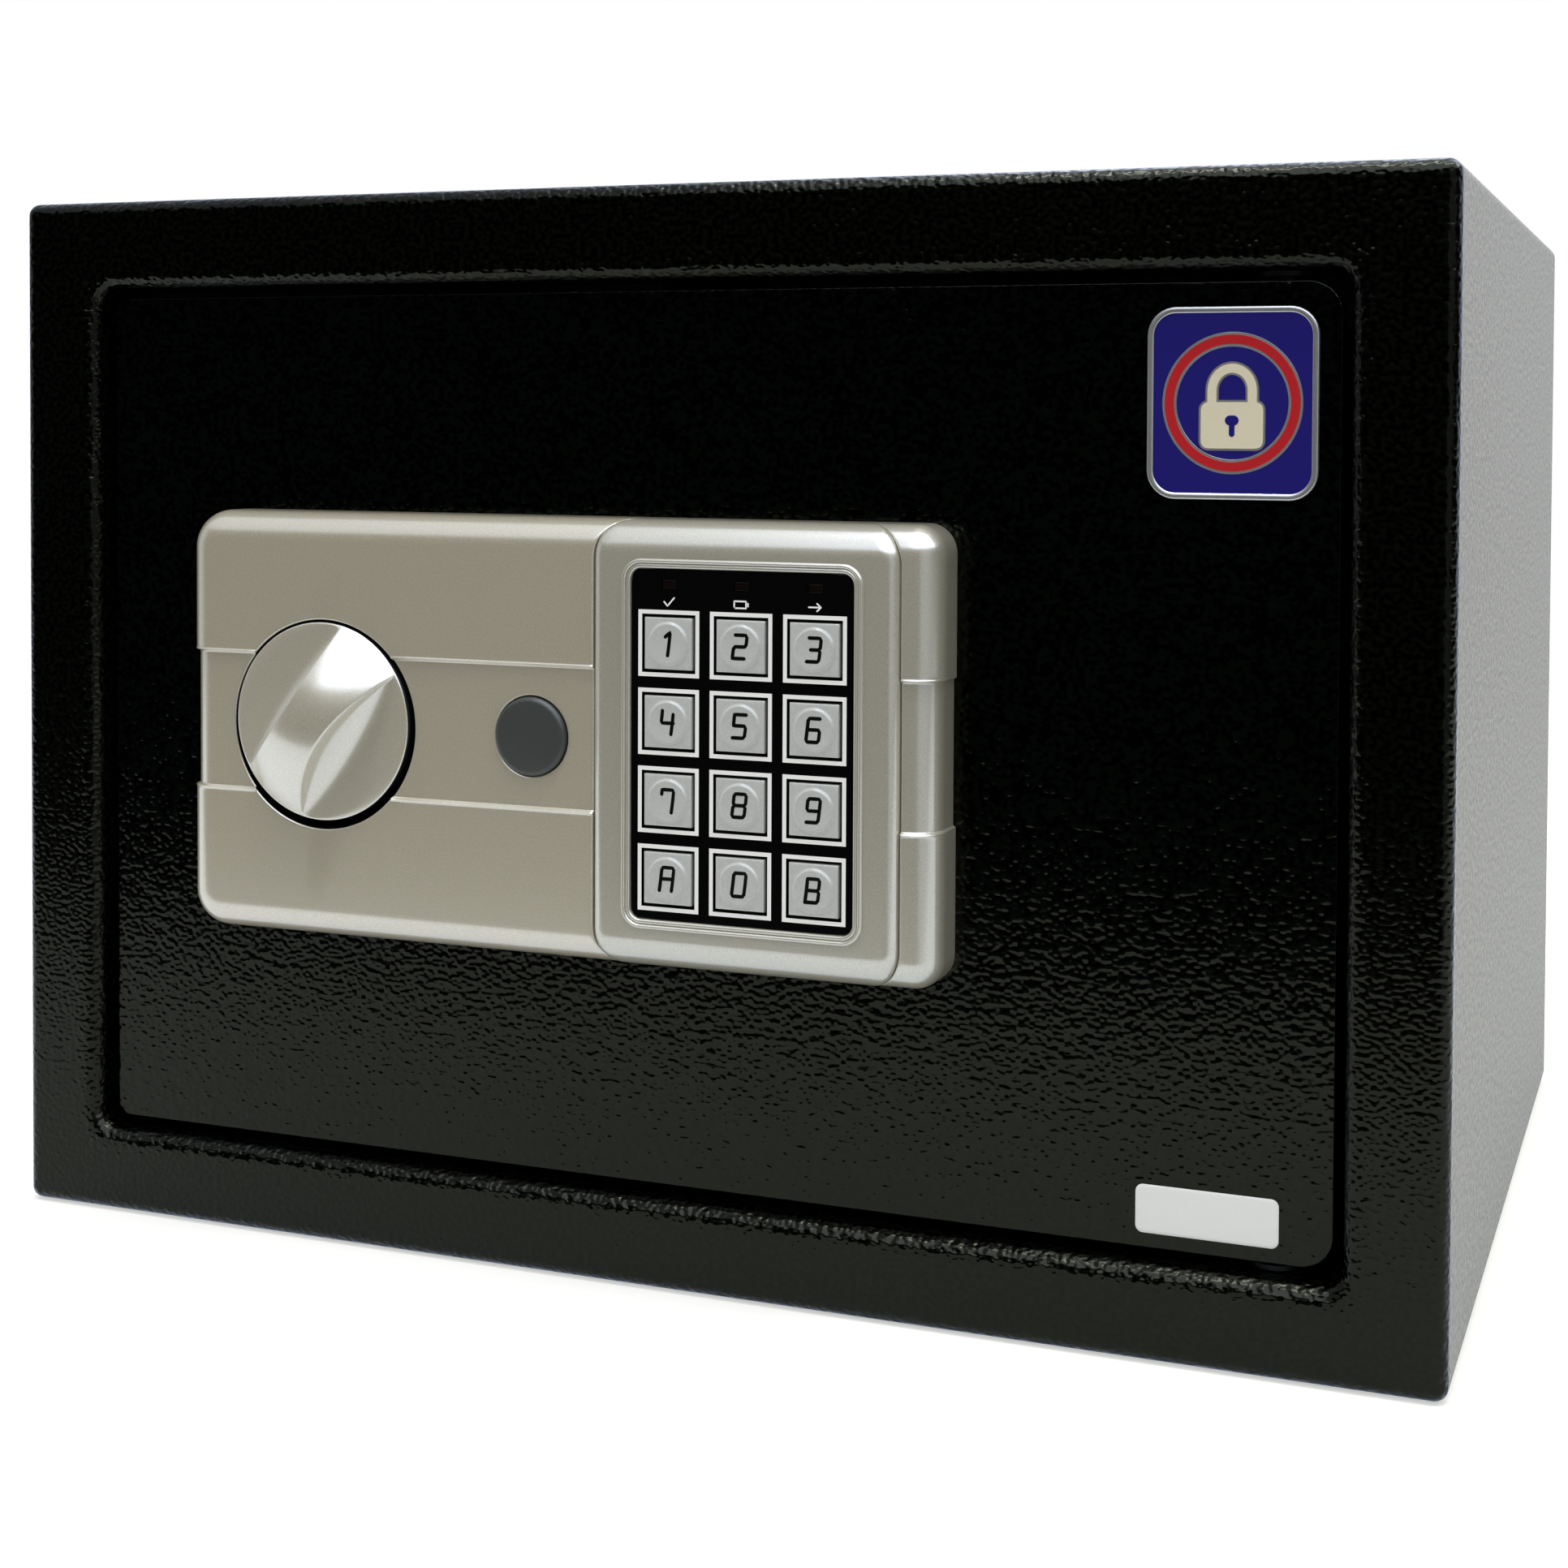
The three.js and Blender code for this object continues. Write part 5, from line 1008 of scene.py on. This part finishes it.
def door_badge():
    """Plate with a silver rim and a sunk blue field, a red ring and a cream padlock on it, each with a silver
    line round it."""
    lo, hi = limits("door_badge")
    extent, centre = front_view(lo, hi)
    front, corner, rim, sunk, clear = lo[1], 6.0, 1.3, 0.35, 0.02
    field = front + sunk
    foot, line_top, paint_top = field + 0.05, field - 0.10, field - 0.16

    def plate(inset, y):
        return at_depth(rounded(extent, corner, centre, inset), y)

    def red_ring(name, grow, top, material):
        outer, inner, slope = 14.25 + grow, 12.15 - grow, 0.1
        profile = [(outer, foot), (outer - slope, top), (inner + slope, top), (inner, foot)]
        hoop(name, turned_y(profile, centre), material, "door", "badge")

    def padlock(name, grow, top, material):
        half, leg, reach, width, rise = 4.2, -1.0, 2.6, 1.9, 4.6
        bow = arc(25, 0, 180)
        path = [(half, leg), *zip(half * np.cos(bow), reach + rise * np.sin(bow)), (-half, leg)]
        shell = Shell()
        ribbon(shell, path, width + 2 * grow, lambda u, v: top + 0.06, centre, 0.12)
        shell.build(name + "_shackle", material, "door", "badge", angle=60)
        body = np.array([13.0, 9.6])
        slab(name + "_body", [at_depth(rounded(body, 1.6, centre - [0.0, 4.6], -grow), y)
                              for y in (top - clear, foot)], material, "door", "badge")

    slab("look_door_badge", [plate(inset, y) for inset, y in (
        (0.0, hi[1]), (0.0, front + 0.3), (0.1, front + 0.1), (0.3, front), (rim - 0.15, front),
        (rim, front + 0.12), (rim, field + 0.1))], BADGE_RIM, "door", "badge", ("door_badge",))
    slab("badge_field", [plate(rim + clear, y) for y in (field, field + 0.08)], BADGE_BLUE, "door", "badge")
    red_ring("badge_ring_line", 0.5, line_top, BADGE_RIM)
    red_ring("badge_ring", 0.0, paint_top, BADGE_RED)
    padlock("badge_line", 0.45, line_top, BADGE_RIM)
    padlock("badge_lock", 0.0, paint_top, BADGE_CREAM)
    keyhole = Shell()
    for path, width in (([(0.0, -3.7), (0.0, -6.4)], 1.2), ([(-0.4, -3.6), (0.4, -3.6)], 2.1)):
        ribbon(keyhole, path, width, lambda u, v: paint_top - clear, centre, 0.05 + 0.005 * width)
    keyhole.build("badge_keyhole", BADGE_BLUE, "door", "badge", angle=60)


def door_label():
    """Blank sticker with rounded corners."""
    lo, hi = limits("door_label")
    extent, centre = front_view(lo, hi)
    edge = 0.08
    rings = [at_depth(rounded(extent, 1.6, centre, inset), y) for inset, y in (
        (edge + LEVEL_RING, lo[1]), (edge, lo[1]), (0.0, lo[1] + 0.06), (0.0, hi[1]))]
    slab("look_door_label", rings, LABEL, "door", "label", ("door_label",))


door_badge()
door_label()

# Floor, light and camera, in metres

scene.view_settings.view_transform = "Standard"


def floor():
    """A pale table top that ends a quarter of a metre in front of the safe. It shines a little by itself, and
    more to the camera and in reflections, where it is cooler."""
    left, right, front, back, level = -1.2, 1.2, -0.38, 1.2, -0.0002
    mesh = bpy.data.meshes.new("table_top")
    mesh.from_pydata([(left, front, level), (right, front, level), (right, back, level), (left, back, level)],
                     [], [(0, 1, 2, 3)])
    obj = bpy.data.objects.new("table_top", mesh)
    scene.collection.objects.link(obj)
    mat, tree, shader, _ = new_material("table_white", (0.62, 0.62, 0.60), 0.9, Specular_IOR_Level=0.0)
    path = add(tree, "ShaderNodeLightPath").outputs
    shown = maths(tree, "MAXIMUM", path["Is Camera Ray"],
                  maths(tree, "MAXIMUM", path["Is Glossy Ray"], path["Is Transmission Ray"]))
    strength = maths(tree, "ADD", maths(tree, "MULTIPLY", shown, 0.45), 0.05)
    hue = mix_color(tree, path["Is Glossy Ray"], (1.0, 1.0, 0.99), (0.82, 1.0, 1.34))
    glow = add(tree, "ShaderNodeEmission", {"Color": hue, "Strength": strength})
    both = add(tree, "ShaderNodeAddShader", {0: shader.outputs[0], 1: glow.outputs[0]})
    tree.links.new(both.outputs[0], tree.nodes["Material Output"].inputs["Surface"])
    mesh.materials.append(mat)


def world():
    """White to the camera. In reflections it is dark in front of the safe, pale above, beside and behind it,
    and a little cool."""
    sky = bpy.data.worlds.new("room")
    scene.world = sky
    sky.use_nodes = True
    tree = sky.node_tree
    tree.nodes.clear()
    way = axes(tree, add(tree, "ShaderNodeTexCoord").outputs["Generated"])

    def wall(axis, start, end, low, high):
        return ramp(tree, way[axis], start, end, low, high)

    ceiling = maths(tree, "MULTIPLY", wall("Z", 0.35, 0.47, 0.0, 3.4), wall("X", -0.44, -0.24, 0.2, 1.0))
    right = maths(tree, "MULTIPLY", wall("X", 0.3, 0.5, 0.0, 0.4), wall("X", 0.80, 0.99, 1.0, 0.2))
    ahead = maths(tree, "MULTIPLY", right, wall("Y", -0.3, -0.1, 1.0, 0.0))
    left = wall("X", -0.98, -0.8, 0.45, 0.0)
    behind = wall("Y", 0.15, 0.6, 0.008, 1.0)
    seen = maths(tree, "MAXIMUM", maths(tree, "MAXIMUM", ceiling, ahead),
                 maths(tree, "MAXIMUM", left, behind))
    around = maths(tree, "MULTIPLY", wall("Z", -0.1, 1.0, 0.58, 1.1), wall("X", -0.1, 0.9, 1.1, 0.45))
    path = add(tree, "ShaderNodeLightPath").outputs
    mirrored = maths(tree, "MAXIMUM", path["Is Glossy Ray"], path["Is Transmission Ray"])
    level = mix_value(tree, path["Is Camera Ray"], mix_value(tree, mirrored, around, seen), 1.0)
    hue = mix_color(tree, mirrored, (1.0, 1.0, 1.0), (0.91, 1.0, 1.22))
    light = add(tree, "ShaderNodeBackground", {"Color": hue, "Strength": level})
    add(tree, "ShaderNodeOutputWorld", {"Surface": light.outputs[0]})


def lamp(name, place, aim, wide, high, power):
    """A soft rectangular lamp at place, turned to aim."""
    data = bpy.data.lights.new(name, "AREA")
    data.shape = "RECTANGLE"
    data.size, data.size_y, data.energy = wide, high, power
    obj = bpy.data.objects.new(name, data)
    scene.collection.objects.link(obj)
    obj.location = place
    obj.rotation_euler = (Vector(aim) - Vector(place)).to_track_quat("-Z", "Y").to_euler()


def camera():
    """The photograph's camera, fitted to the cabinet's corners; lengths of the picture are pixels."""
    focal, width, middle_x, middle_y = 2856.475, 1932.0, 1087.602, 600.0
    yaw, pitch, roll = -0.352153, -0.027033, 0.005671
    place = Vector((0.226285, -0.595139, 0.196323))
    sensor = 36.0
    forward = np.array([math.sin(yaw) * math.cos(pitch), math.cos(yaw) * math.cos(pitch), math.sin(pitch)])
    right = np.array([math.cos(yaw), -math.sin(yaw), 0.0])
    up = np.cross(right, forward)
    right, up = math.cos(roll) * right + math.sin(roll) * up, -math.sin(roll) * right + math.cos(roll) * up
    data = bpy.data.cameras.new("camera")
    data.sensor_width = sensor
    data.lens = sensor * focal / width
    data.shift_x = (width / 2 - middle_x) / width
    data.shift_y = (middle_y - width / 2) / width
    data.clip_start, data.clip_end = 0.01, 20.0
    obj = bpy.data.objects.new("camera", data)
    scene.collection.objects.link(obj)
    turn = Matrix(np.stack([right, up, -forward], axis=1).tolist()).to_4x4()
    turn.translation = place
    obj.matrix_world = turn
    scene.camera = obj


LAMP_AIM = (0.1, 0.0, 0.1)
floor()
world()
lamp("ceiling", (0.25, -0.35, 1.5), LAMP_AIM, 1.1, 0.12, 10.0)
lamp("right", (1.3, 0.5, 1.2), LAMP_AIM, 0.5, 0.5, 4.0)
camera()
